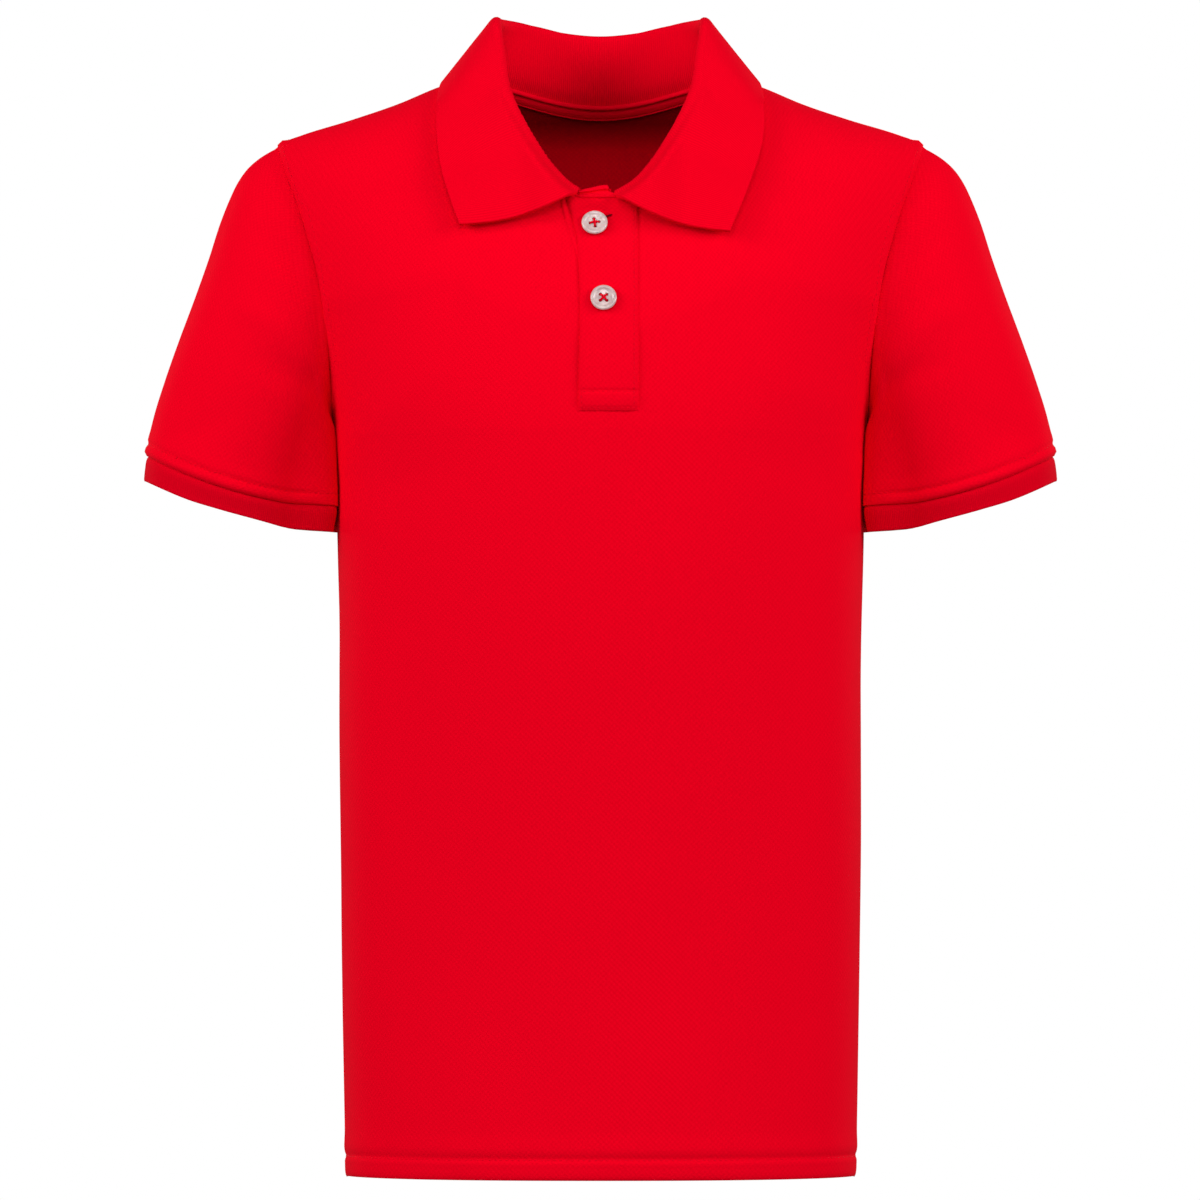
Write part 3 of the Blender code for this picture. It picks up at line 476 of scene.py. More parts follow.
bodyFolds = {
    "front": (  # x z, x z, height, half width
        (-128, -186, -84, -152, 0.8, 11), (126, -190, 88, -150, 0.7, 12),
        (-126, -205, -70, -196, -0.7, 13), (128, -212, 76, -190, -0.6, 12),
        (-118, -300, -96, -420, 0.5, 16), (116, -330, 100, -450, 0.5, 17),
        (-60, -440, -20, -520, -0.5, 22), (44, -400, 60, -500, -0.5, 24),
        (-112, -470, -104, -540, -0.6, 12), (104, -480, 112, -542, 0.6, 12),
    ),
    "back": (
        (-130, -190, -70, -160, 1.1, 13), (128, -186, 74, -168, 1.0, 12),
        (-110, -215, -40, -230, -1.0, 16), (112, -222, 30, -240, -1.1, 17),
        (-60, -270, 40, -285, 0.9, 20), (-90, -330, 10, -350, -0.8, 22), (20, -380, 100, -400, 0.7, 20),
        (-70, -440, -50, -535, -0.7, 20), (30, -430, 50, -540, 0.8, 22), (96, -460, 104, -545, -0.6, 14),
    ),
}


def panelTop(u, side):
    # x and z of the neck edge and the shoulder line, from the centre to the shoulder tip
    last, neck, tip = form["neckShare"], form["neckHalf"], form["tip"]
    xNeck = neck * np.sin(np.clip(u / last, 0, 1) * math.pi / 2)
    xShoulder = neck + (tip[0] - neck) * np.clip((u - last) / (1 - last), 0, 1)
    x = np.where(u <= last, xNeck, xShoulder)
    z = np.where(u <= last, neckZ(x, side), curveAt(ridgeRows, x)[..., 0])
    z[-1] = tip[1]
    return x, z


def easedUnderarm(half, low):
    # no crease runs in from the underarm; the rows lie unevenly, so each is weighed by its distance
    below, above = bodyPanel["easeRows"]
    near = half[low - below:low + above, 1:-1]
    step = np.diff(near[..., 2], axis=0)
    part = step[:-1] / (step[:-1] + step[1:])
    depth = near[..., 1]
    for _ in range(bodyPanel["underarmEase"]):
        depth[1:-1] += 0.4 * (depth[:-2] * (1 - part) + depth[2:] * part - depth[1:-1])
    return half


def bodyPoints(side):
    # rows from the hem up to the underarm, then one for each point of the armhole
    b = bodyPanel
    u = np.linspace(0, 1, b["halfColumns"] + 1)
    sx, sy = levelShare(u)
    xTop, zTop = panelTop(u, side)
    underarm = form["underarmZ"]
    upward = np.linspace(b["hemTall"], b["underarmTall"], 104)
    above = np.concatenate([np.linspace(0, b["hemTall"], 28), upward[1:-1]])
    rows = []
    for h in above:
        z = b["hemZ"] + h
        size = curveAt(trunkRows, z)
        depth = size[1] if side < 0 else size[2]
        lift = (b["hemLift"] if side < 0 else 0.0) * (1 - smooth(h / b["liftTall"])) * sy**0.6
        rows.append(np.column_stack([size[0] * sx, side * depth * sy, z + lift]))
    inward = smooth((u - b["dentFrom"]) / (1 - b["dentFrom"]))
    atEdge = smooth((u - b["edgeFrom"]) / (1 - b["edgeFrom"]))
    for point in armholeHalf(side, b["armholeSteps"]):
        share = (point[2] - underarm) / (form["tip"][1] - underarm)
        blend = smooth(share) * 0.55 + share * 0.45
        k = (1 - blend) * sx + blend * xTop / form["tip"][0]
        x, z = point[0] * k, underarm + (zTop - underarm) * share
        off = point[1] - trunkY(np.array([point[0]]), np.array([point[2]]), side)[0]
        far = np.clip(off, -b["armholeDent"], b["armholeDent"])
        y = trunkY(x, z, side) + far * inward + (off - far) * atEdge
        rows.append(np.column_stack([x, y, z]))
        rows[-1][-1] = point
    half = easedUnderarm(np.array(rows), len(above))
    other = half[:, :0:-1] * [-1, 1, 1]
    return np.concatenate([other, half], axis=1), above


def bodyPiece(name, side):
    b = bodyPanel
    grid, above = bodyPoints(side)
    low = len(above)
    heights = np.concatenate([above, np.full(len(grid) - low, 400.0)])      # 400 is far from the hem
    face = faceOut(grid, (0, side, 0))
    face[:low + 1, [0, -1], 1] = 0
    shoulder = np.abs(np.linspace(-1, 1, grid.shape[1])) > form["neckShare"]
    face[-1, shoulder, 1] = 0
    face = unit(face)
    lift = curveAt(b["hem"], heights) * np.ones((1, grid.shape[1]))
    pucker = drift(grid[..., 0], grid[..., 1], 3.2, 11 + side) * b["hemPucker"]
    lift += pucker * np.exp(-((heights - b["puckerAt"]) / b["puckerHalf"]) ** 2)[:, None]
    ends = np.where(grid[..., :1] > 0, grid[:, -1:], grid[:, :1])
    beside = curveAt(b["armhole"], np.linalg.norm(grid - ends, axis=2))[..., 0]
    beside *= smooth((grid[..., 2] - form["underarmZ"] - 1) / 14)
    beside[:low] = 0
    lift += beside + foldHeight(grid, bodyFolds[name])
    lift += drift(grid[..., 0], grid[..., 2], 38, 5 + side) * b["uneven"]
    points = grid + face * lift[..., None]
    gone = None
    if side < 0:
        left, right, foot = b["slot"]
        centre = (points[1:, 1:] + points[:-1, :-1]) / 2
        gone = (centre[..., 0] > left) & (centre[..., 0] < right) & (centre[..., 2] > foot)
    piece = clothPiece(name + "Panel", name, points, clothUv(grid), "knit", b["wall"], face, gone=gone,
                       hemRows=b["hemRows"])
    return piece, points, face, low


frontPanel, frontPoints, frontFace, lowRows = bodyPiece("front", -1)
backPanel, backPoints, backFace, _ = bodyPiece("back", 1)
print("front and back panels made")

# Sleeves, from the armhole down to the cuff seam. Columns run from the underarm over the front.
sleevePanel = {
    "steps": 60,
    "rows": 84,
    "wall": 1.2,
    "cuffOuter": (227.2, -190.0),
    "cuffInner": (134.6, -216.3),
    "cuffDepth": 41.0,
    "cuffSag": 5.0,
    "besideTrunk": 0.6,         # how far off the trunk's side the inner side lies
    "innerX": 156.0,            # nearer the middle than this it is drawn to the trunk
    "innerHalf": 38.0,          # as far as this to the front and the back
    "innerEase": 14.0,
    "flatX": 137.5,             # nearer the middle than this it has no relief
    "arrive": (0.306, -0.40, -0.952),       # way into the cuff seam: x, x per share of the loop, z
    "uneven": 0.6,
    "pucker": 0.35,
    "tuck": (2.0, 1.0),         # how far the head reaches on under the body's edge, and how deep
    "end": ((0, -0.4), (0.7, 0.5), (1.6, 1.05), (3.0, 1.15), (4.4, 0.8), (5.3, -0.05), (6.0, -0.15),
            (7.0, 0.45), (9.0, 0.5), (13, 0.15), (18, 0.0)),
    "head": ((0, -0.8), (1.5, -0.75), (3.5, -0.45), (7, -0.1), (11, 0.0)),
}
sleeveLeave = (  # share of the half loop from the tip down, x, y, z, pull, pull at the cuff
    (0.0, 0.90, 0.0, -0.43, 0.9, 1.0), (0.2, 0.85, -0.14, -0.50, 0.9, 1.0),
    (0.4, 0.69, -0.20, -0.69, 1.0, 0.9), (0.6, 0.49, -0.17, -0.85, 1.0, 0.9),
    (0.8, 0.34, -0.12, -0.93, 1.0, 0.9), (1.0, 0.02, 0.0, -1.0, 1.0, 0.9),
)
sleeveTop = (  # x, z of the sleeve's outer line
    (161.5, -35.0), (166.0, -38.2), (171.5, -42.0), (176.0, -46.0), (179.2, -50.0), (181.7, -54.0),
    (185.5, -62.0), (189.5, -72.0), (196.0, -92.0), (203.0, -112.0), (210.4, -132.0),
    (217.4, -152.0), (223.6, -172.0), (227.2, -190.0),
)
sleeveFolds = {
    "front": (
        (163, -84, 145, -108, -1.7, 7.0), (176, -118, 144, -139, 1.2, 8.0),
        (168, -144, 140, -160, -1.2, 7.0), (148, -151, 138, -160, -0.9, 5.0),
        (190, -104, 206, -150, 0.7, 9.0), (182, -168, 214, -182, -0.6, 8.0),
    ),
    "back": (
        (166, -84, 144, -108, -1.4, 8.0), (180, -110, 148, -128, 1.5, 8.0),
        (172, -132, 142, -150, -1.9, 7.0), (200, -120, 206, -160, 0.8, 9.0),
    ),
}


def cuffLoop(share, side):
    s = sleevePanel
    outer, inner = np.array(s["cuffOuter"]), np.array(s["cuffInner"])
    centre, arm = (outer + inner) / 2, (outer - inner) / 2
    turn = share * math.pi
    x = centre[0] + arm[0] * np.cos(turn)
    y = side * s["cuffDepth"] * np.sin(turn)
    z = centre[1] + arm[1] * np.cos(turn) - s["cuffSag"] * np.sin(turn) ** 2
    return np.column_stack([besideTrunk(x, y, z), y, z])


def besideTrunk(x, y, z):
    # the inner side lies flat along the trunk's side
    s = sleevePanel
    size = curveAt(trunkRows, z)
    k = form["squareness"]
    depth = np.where(y < 0, size[..., 1], size[..., 2])
    trunk = size[..., 0] * (1 - np.clip(np.abs(y) / depth, 0, 1) ** k) ** (1 / k)
    near = smooth((s["innerX"] - x) / s["innerEase"]) * smooth((s["innerHalf"] - np.abs(y)) / s["innerEase"])
    return x + (trunk + s["besideTrunk"] - x) * near


def sleevePoints():
    # each column is a cubic that leaves the armhole and arrives at the cuff seam
    s = sleevePanel
    n = s["steps"]
    loop = np.vstack([armholeHalf(-1, n), armholeHalf(1, n)[-2::-1]])
    share = np.abs(np.linspace(-1, 1, 2 * n + 1))
    side = np.where(np.arange(2 * n + 1) <= n, -1.0, 1.0)
    cuff = cuffLoop(share, side)
    leave = curveAt(sleeveLeave, share)
    along = unit(leave[:, :3])
    along[:, 1] *= -side
    reach = np.linalg.norm(cuff - loop, axis=1)[:, None]
    x, perShare, z = s["arrive"]
    arrive = unit(np.column_stack([x + perShare * share, 0 * share, z + 0 * share]))
    a, b = along * reach * leave[:, 3:4], arrive * reach * leave[:, 4:5]
    t = np.linspace(0, 1, s["rows"] + 1)[:, None, None]
    grid = loop + t * a + t**2 * (3 * (cuff - loop) - 2 * a - b) + t**3 * (2 * (loop - cuff) + a + b)
    top = byLength(sleeveTop)
    line = curveAt(top, t[:, 0, 0] * top[-1, 0])
    fix = np.column_stack([line[:, 0], 0 * line[:, 0], line[:, 1]]) - grid[:, n]
    fix[0], fix[-1] = 0, 0
    grid = grid + fix[:, None] * (np.clip(np.cos(share * math.pi), 0, 1) ** 2)[None, :, None]
    x, y, z = np.moveaxis(grid, 2, 0)
    grid[..., 0] += (besideTrunk(x, y, z) - x) * smooth(t[..., 0] / 0.25)
    return grid, side


def roundNormals(grid):
    # normals of a tube whose last column repeats its first
    ring = grid[:, :-1]
    across = np.roll(ring, -1, axis=1) - np.roll(ring, 1, axis=1)
    n = unit(np.cross(across, np.gradient(ring, axis=0)))
    if np.einsum("ijk,ijk->", n, ring - ring.mean(axis=1, keepdims=True)) < 0:
        n = -n
    return np.concatenate([n, n[:, :1]], axis=1)


def sided(points, left):
    return points if left else points * [-1, 1, 1]


sleeveGrid, sleeveSide = sleevePoints()
sleeveFace = roundNormals(sleeveGrid)
stepDown = np.linalg.norm(np.diff(sleeveGrid, axis=0), axis=2)
runDown = np.concatenate([np.zeros((1, sleeveGrid.shape[1])), np.cumsum(stepDown, axis=0)])
fromEnd = runDown[-1] - runDown


def sleevePiece(name, node, left):
    s = sleevePanel
    lift = curveAt(s["end"], fromEnd)[..., 0]
    lift += curveAt(s["head"], runDown)[..., 0] * np.clip(runDown[-1] / 60, 0, 1)
    inside = smooth(runDown / 14) * smooth((fromEnd - 6) / 14)
    ease = np.abs(np.sin(np.linspace(0, 2 * math.pi, sleeveGrid.shape[1])))
    front = foldHeight(sleeveGrid, sleeveFolds["front"]) * (sleeveSide < 0)
    back = foldHeight(sleeveGrid, sleeveFolds["back"]) * (sleeveSide > 0)
    lift += (front + back) * inside * smooth(ease * 2.5)
    x, y, z = np.moveaxis(sleeveGrid, 2, 0)
    seed = 21 if left else 31
    lift += drift(x + y, z, 17, seed) * s["uneven"] * inside * ease
    lift += drift(x, y, 2.6, seed + 1) * s["pucker"] * ease * np.exp(-((fromEnd - 6) / 3.5) ** 2)
    lift *= np.clip((x - s["flatX"]) / 3, 0, 1)
    points = sleeveGrid + sleeveFace * lift[..., None]
    on, deep = s["tuck"]
    tuck = points[0] + unit(points[0] - points[1]) * on - sleeveFace[0] * deep
    whole = np.concatenate([tuck[None], points])
    run = np.concatenate([fromEnd[:1] + on, fromEnd])
    face = np.concatenate([sleeveFace[:1], sleeveFace])
    piece = clothPiece(name, node, sided(whole, left), clothUv(whole, run), "knit", s["wall"],
                       sided(face, left), joined=True)
    return piece, sided(points, left), sided(sleeveFace, left)


sleeveLeft, leftPoints, leftFace = sleevePiece("sleeveLeft", "sleeve_left", True)
sleeveRight, rightPoints, rightFace = sleevePiece("sleeveRight", "sleeve_right", False)
print("sleeves made")

cuffBand = {
    "dropOuter": (1.2, -12.6),
    "dropInner": (0.5, -12.6),
    "wall": 1.6,
    "short": (  # share round from the outer to the inner end, how much shorter the band is there
        (0, 0), (0.2, 0.25), (0.33, 0.5), (0.45, 1.4), (0.6, 1.4), (0.7, 0.2), (0.75, -0.5),
        (0.79, 0.1), (0.83, 1.9), (0.88, 3.1), (0.94, 3.4), (1.0, 3.4)),
    "profile": (  # share down the band, how far the cloth stands out of the sleeve's end line
        (-0.22, -1.9), (-0.1, -1.8), (0, -1.3), (0.10, -0.6), (0.2, -0.3), (0.5, 0.0), (0.8, 0.05),
        (0.95, -0.05), (1.0, -0.3)),
    "tilt": 2.2,                # how far the band's foot is drawn in at the front and the back
    "wave": 0.35,
    "turnedIn": -0.22,          # share of the band that lies inside the sleeve's end
}


def cuffPiece(name, node, left):
    c = cuffBand
    share = np.abs(np.linspace(-1, 1, 2 * sleevePanel["steps"] + 1))[:, None]
    drop = np.array(c["dropOuter"]) * (1 - share) + np.array(c["dropInner"]) * share
    drop[:, 1:] += curveAt(c["short"], share[:, 0])
    drop = np.column_stack([drop[:, 0], 0 * drop[:, 0], drop[:, 1]])
    levels = np.linspace(c["turnedIn"], 1, 26)
    out = curveAt(c["profile"], levels)[:, 0]
    seam, face = sleeveGrid[-1], sleeveFace[-1]
    out = out[:, None] - c["tilt"] * smooth(levels)[:, None] * np.sin(math.pi * share[:, 0]) ** 0.7
    points = seam + drop * levels[:, None, None] + face * out[..., None]
    wave = drift(points[..., 0], points[..., 1], 9, 41 if left else 42) * c["wave"]
    points = points + face * (wave * smooth(levels * 1.4)[:, None])[..., None]
    faces = np.broadcast_to(sided(face, left), points.shape)
    # the cuffs take the darker rib, which is painted shade
    return clothPiece(name, node, sided(points, left), clothUv(points), "cuffRibInPaintedShade", c["wall"], faces,
                      joined=True, edge=0.5)


cuffLeft = cuffPiece("cuffLeft", "cuff_left", True)
cuffRight = cuffPiece("cuffRight", "cuff_right", False)
print("cuffs made")

# Collar per station: x on the neck seam, the fold and the outer edge of the leaf.
collarRight = (  # side, seam x, fold x, y, z, edge x, y, z
    (-1, 6.6, 6.5, -59.6, -61.4, 63.5, -75.2, -81.2),
    (-1, 18.0, 15.0, -58.0, -56.4, 66.8, -71.6, -73.5),
    (-1, 28.0, 23.1, -55.0, -47.7, 70.2, -66.6, -65.3),
    (-1, 38.0, 32.2, -49.5, -33.9, 73.6, -60.2, -56.2),
    (-1, 47.0, 40.3, -41.5, -18.6, 77.4, -53.6, -45.6),
    (-1, 54.5, 44.9, -32.5, -6.6, 80.2, -45.6, -34.0),
    (-1, 62.0, 48.2, -17.0, 14.2, 80.8, -30.2, -16.0),
    (1, 64.0, 50.0, 0.0, 28.4, 78.4, 0.0, -3.3),
    (1, 58.0, 48.8, 13.0, 28.7, 76.6, 17.0, -6.9),
    (1, 46.0, 43.5, 26.0, 28.6, 69.0, 33.0, -10.8),
    (1, 32.0, 32.0, 37.0, 26.7, 48.0, 46.0, -15.5),
    (1, 16.0, 16.4, 44.5, 23.7, 24.0, 53.2, -18.3),
    (1, 0.0, 0.0, 47.0, 22.5, 0.0, 55.6, -19.5),
)
collarLeftEdge = (
    (69.1, -69.8, -77.7), (71.6, -66.6, -71.2), (73.9, -62.9, -64.6), (76.6, -58.2, -56.4),
    (79.2, -52.6, -45.4), (80.7, -44.6, -33.2), (81.0, -30.0, -15.8),
)
collarLeaf = {
    "stations": 170,
    "points": 66,           # from the neck seam over the fold to the leaf's edge
    "standPoints": 24,      # of those, the ones on the stand, which stays even
    "wall": 1.8,
    "foldRadius": 2.1,
    "foldTurns": (25, 50, 75, 100, 125, 155),   # degrees round the fold where the line has its points
    "frontSag": 4.2,
    "swell": 2.2,
    "standSwell": 1.1,      # where the stand is as tall as standTall, and less where it is lower
    "standTall": 30.0,
    "standBend": 0.62,      # below 1 the stand's bend is lower than its middle
    "standIn": 3.2,         # at the back the stand leans in at its foot and stands upright above
    "standInFrom": 8.0,     # the y of the fold where that begins, and over how much y it grows
    "standInOver": 25.0,
    "uneven": 0.35,
    "sideFlat": 0.95,       # over the shoulders the leaf is drawn tight
    "sideY": -2.0,          # around this y
    "sideHalf": 16.0,
    "endRun": 0.065,        # share of the collar over which a leaf flattens towards its free end
    "frontY": -28.0,        # farther forward than this the leaves stand off the front
    "room": 4.8,            # by this much
    "roomAtBand": 4.6,      # and by this much more beside the opening
    "bandHalf": 42.0,       # which reaches this far from the middle
    "bandEase": 18.0,
    "middle": (0.0, -4.0, 0.0),                 # what the fold goes round
    "leftStart": (9.6, 10.0, -59.6, -59.8),     # seam x and the fold where the left leaf starts
}


def collarLines():
    right = np.array(collarRight, float)
    left = right.copy()
    left[0, 1:5] = collarLeaf["leftStart"]
    left[:len(collarLeftEdge), 5:] = collarLeftEdge
    left[:, [1, 2, 5]] *= -1
    rows = np.vstack([right, left[-2::-1]])
    z = neckZ(rows[:, 1], rows[:, 0])
    seam = np.column_stack([rows[:, 1], trunkY(rows[:, 1], z, rows[:, 0]), z])
    run = byLength(rows[:, 2:5] * 0.6 + rows[:, 5:] * 0.4)[:, 0]
    at = np.linspace(0, run[-1], collarLeaf["stations"] + 1)
    out = curveAt(np.column_stack([run, seam, rows[:, 2:]]), at)
    return out[:, :3], out[:, 3:6], out[:, 6:], at / run[-1]


def standLine(seam, fold, outward):
    # from the neck seam up the stand and round the fold, to where the leaf begins
    c = collarLeaf
    tall, rise = np.linalg.norm(fold - seam), unit(fold - seam)
    r = c["foldRadius"]
    up = unit(rise * 0.5 + np.array([0, 0, 0.5]))
    hub = fold - up * r + outward * r
    start, top = seam - rise, hub - outward * r
    lean = c["standIn"] * smooth((fold[1] - c["standInFrom"]) / c["standInOver"])
    bow = outward * (c["standSwell"] * min(1, tall / c["standTall"]) - lean)
    line = []
    for t in np.linspace(0, 1, 7):
        line.append(start + (top - start) * t + bow * math.sin(math.pi * t ** c["standBend"]))
    for turn in np.radians(c["foldTurns"]):
        line.append(hub - outward * r * math.cos(turn) + up * r * math.sin(turn))
    return line


def leafLine(leave, edge, fold, share):
    # from the fold down the leaf, clear of the front
    c = collarLeaf
    across = edge - leave
    end = max(0.0, 1 - share / c["endRun"]) + max(0.0, 1 - (1 - share) / c["endRun"])
    swell = unit(np.cross(np.cross(across, np.array([0, 0, 1.0])), across))
    swell = -swell if swell[2] < 0 else swell
    flat = c["sideFlat"] * math.exp(-((fold[1] - c["sideY"]) / c["sideHalf"]) ** 2)
    line = []
    for t in np.linspace(0, 1, 13)[1:]:
        bulge = math.sin(math.pi * t)
        point = leave + across * t + swell * c["swell"] * bulge * (1 - end) * (1 - flat)
        point[2] -= c["frontSag"] * bulge * end
        beside = smooth((c["bandHalf"] - abs(point[0])) / c["bandEase"])
        room = c["wall"] / 2 + c["room"] + c["roomAtBand"] * beside
        if point[1] < c["frontY"]:
            point[1] = min(point[1], float(trunkY(point[0], point[2], -1)) - room)
        line.append(point)
    return line


def collarPoints():
    c = collarLeaf
    seam, fold, edge, share = collarLines()
    outward = np.cross(np.gradient(fold, axis=0), [0, 0, 1.0])
    outward[:, 2] = 0
    outward = unit(outward)
    turned = np.einsum("ij,ij->i", outward, (fold - c["middle"]) * [1, 1, 0]) < 0
    outward[turned] *= -1
    lines = []
    for i in range(len(fold)):
        line = standLine(seam[i], fold[i], outward[i])
        line += leafLine(line[-1], edge[i], fold[i], share[i])
        table = byLength(line)
        lines.append(curveAt(table, np.linspace(0, table[-1, 0], c["points"] + 1)))
    return np.array(lines)


def collarPiece():
    c = collarLeaf
    middle = collarPoints()
    face = faceOut(middle, (0, 1, 0))
    along = byLength(middle[:, 20])[:, 0]
    across = byLength(middle[c["stations"] // 2])[:, 0]
    uv = np.stack(np.broadcast_arrays(along[:, None], across[None, :]), axis=2)
    lift = drift(middle[..., 0], middle[..., 2], 16, 51) * c["uneven"]
    lift[:, :c["standPoints"]] = 0
    points = middle + face * (c["wall"] / 2 + lift)[..., None]
    return clothPiece("collarLeaf", "collar", points, uv, "rib", c["wall"], face, edge=0.45)


collar = collarPiece()
print("collar made")

# The buttoned opening: the wearer's left band lies over the right one.
bandLeft = ((-175, -10.8), (-96, -10.8), (-86, -11.4), (-76, -13.4), (-66, -16.4), (-55, -18.0))
underLeft = ((-175, -9.5), (-98, -9.5), (-92, -12.6), (-80, -16.2), (-70, -19.4), (-55, -21.0))
bandTop = ((-22, -70.0), (-14, -65.6), (-9.6, -63.6), (-5, -63.2), (0, -63.1), (5, -63.2), (9, -64.0),
           (12, -65.6), (22, -70.0))
lipTop = ((-10.4, -60.6), (-8, -59.7), (-4.4, -58.9), (0.5, -57.8), (2.8, -57.7), (3.8, -58.2),
          (4.3, -59.6), (4.9, -60.9), (6.0, -61.4), (9.0, -62.2))
lipGroove = ((-10.4, -62.0), (-4.4, -61.3), (3.5, -60.4), (9.0, -61.8))
placket = {
    "right": 18.6,
    "underRight": 16.0,
    "foot": -169.7,
    "box": -159.9,              # the upper of the two seams that close the opening's foot
    "grooves": (0.3, 0.65),     # how deep the lower and the upper of them are drawn in
    "grooveHalf": 0.6,
    "boxSwell": 0.25,
    "edgeSeam": 0.15,
    "uneven": 0.22,
    "out": 1.3,
    "underOut": 0.1,
    "underWall": 1.1,
    "sewnDown": 0.4,            # how much flatter the side is that is sewn to the front
    "footDown": 0.35,           # and the foot
    "wall": 1.0,
    "hollow": 1.1,              # how deep the cloth lies below the neck seam
    "hollowAt": (-1.0, -67.0),
    "hollowHalf": (9.5, 3.0),
    "slit": (-2.9, -76.3, 5.0, -73.3),      # the top buttonhole, x z to x z
    "slitDeep": 1.2,
    "slitShadeSize": (2.5, 0.55, 0.18),           # a dark lens of painted shade at its open end: half long, half wide and half thick
    "edge": ((0, -0.7), (0.5, -0.35), (1.2, -0.1), (2.4, 0.05), (4.0, 0.0)),
    "underEdge": ((0, -0.5), (0.6, 0.2), (1.6, 0.35), (3, 0.1), (5, -0.35), (40, -0.35)),
    "stitchUp": 1.4,            # the lowest seam above the foot
    "stitchIn": 2.2,
}
neckLipRoll = {
    "left": -10.4,
    "right": 9.0,
    "foot": -64.2,
    "seamRoll": 1.4,
    "foldRoll": 0.9,
    "out": 0.9,
    "cut": 0.9,                 # the groove between the two rolls
    "wall": 1.2,
}


def bandGrid(left, right, zRows, columns):
    # rows from the foot up, which end together along the curved top
    points = []
    for z in zRows:
        x = np.linspace(float(curveAt(left, z)[0]), right, columns + 1)
        top = np.minimum(z, np.maximum(neckZ(x, -1) - 0.2, curveAt(bandTop, x)[..., 0]))
        points.append(np.column_stack([x, trunkY(x, top, -1), top]))
    return np.array(points)


def placketTopPiece():
    p = placket
    grid = bandGrid(bandLeft, p["right"], np.linspace(p["foot"], -60.0, 151), 40)
    face = faceOut(grid, (0, -1, 0))
    toSide = np.minimum(grid[..., 0] - grid[:, :1, 0], grid[:, -1:, 0] - grid[..., 0])
    toFoot = grid[..., 2] - p["foot"]
    lift = p["out"] + curveAt(p["edge"], np.minimum(toSide, toFoot))[..., 0]
    lift -= p["sewnDown"] * (1 - smooth((grid[:, -1:, 0] - grid[..., 0]) / 5))
    lift -= p["footDown"] * (1 - smooth(toFoot / 7))
    x, z, half = grid[..., 0], grid[..., 2], p["grooveHalf"]
    for level, deep in zip((p["foot"] + p["stitchUp"], p["box"]), p["grooves"]):
        lift -= deep * np.exp(-((z - level) / half) ** 2)
    lift += p["boxSwell"] * np.exp(-((z - (p["box"] + p["foot"]) / 2) / 3.2) ** 2)
    lift -= p["edgeSeam"] * np.exp(-((x - grid[:, -1:, 0] + p["stitchIn"]) / half) ** 2)
    lift += drift(x * 2, z, 10, 61) * p["uneven"]
    (xDip, zDip), (wideDip, tallDip) = p["hollowAt"], p["hollowHalf"]
    lift -= p["hollow"] * np.exp(-((z - zDip) / tallDip) ** 2 - ((x - xDip) / wideDip) ** 4)
    x0, z0, x1, z1 = p["slit"]
    wide, tall = x1 - x0, z1 - z0
    along = np.clip(((x - x0) * wide + (z - z0) * tall) / (wide**2 + tall**2), 0, 1)
    away = np.hypot(x - x0 - along * wide, z - z0 - along * tall)
    lift -= p["slitDeep"] * np.exp(-((away / half) ** 2))
    points = grid + face * lift[..., None]
    piece = clothPiece("placketTop", "placket_top", points, clothUv(grid), "knit", p["wall"], face)
    return piece, points, face


def placketUnderPiece():
    p = placket
    grid = bandGrid(underLeft, p["underRight"], np.linspace(p["foot"] + 4, -61.0, 111), 36)
    face = faceOut(grid, (0, -1, 0))
    fromLeft = grid[..., 0] - grid[:, :1, 0]
    lift = p["underOut"] + curveAt(p["underEdge"], fromLeft)[..., 0]
    points = grid + face * lift[..., None]
    return clothPiece("placketUnder", "placket_under", points, clothUv(grid), "knit", p["underWall"], face)


placketTop, bandPoints, bandFace = placketTopPiece()
placketUnder = placketUnderPiece()


def neckLipPiece():
    # the rolled neck seam between the collar's ends, and above it the folded end of the lower band
    n = neckLipRoll
    x, foot = np.linspace(n["left"], n["right"], 60), n["foot"]
    top, groove = curveAt(lipTop, x)[:, 0], curveAt(lipGroove, x)[:, 0]
    rows = []
    for t in np.linspace(0, 1, 25):
        z = foot + (top - foot) * t
        lower = np.sin(math.pi * np.clip((z - foot) / (groove - foot), 0, 1)) * n["seamRoll"]
        upper = np.sin(math.pi * np.clip((z - groove) / np.maximum(top - groove, 0.8), 0, 1)) * n["foldRoll"]
        out = n["out"] + np.sqrt(np.maximum(lower, 0)) + np.sqrt(np.maximum(upper, 0))
        out -= n["cut"] * np.exp(-((z - groove) / 0.45) ** 2)
        rows.append(np.column_stack([x, trunkY(x, z, -1) - out, z]))
    points = np.array(rows)
    face = faceOut(points, (0, -1, 0))
    return clothPiece("neckLip", None, points, clothUv(points), "knit", n["wall"], face, edge=0.4)


neckLip = neckLipPiece()
print("opening made")

tapeStrip = {
    "half": 60.0,
    "above": 0.6,               # how far the roll reaches over the neck edge
    "tall": 6.8,
    "wall": 0.9,
    "off": 1.3,                 # how far off the panel's inner side it lies
    "bow": (    # a roll over the neck seam, a stitched groove, then the flat tape with its stitched edge
        (-0.6, -0.2), (-0.1, 0.8), (0.5, 1.2), (1.1, 0.95), (1.6, 0.1), (1.9, -0.35), (2.3, 0.0),
        (3.0, 0.35), (4.8, 0.35), (5.5, 0.1), (5.8, -0.3), (6.2, 0.15), (6.5, 0.05), (6.8, -0.5)),
}


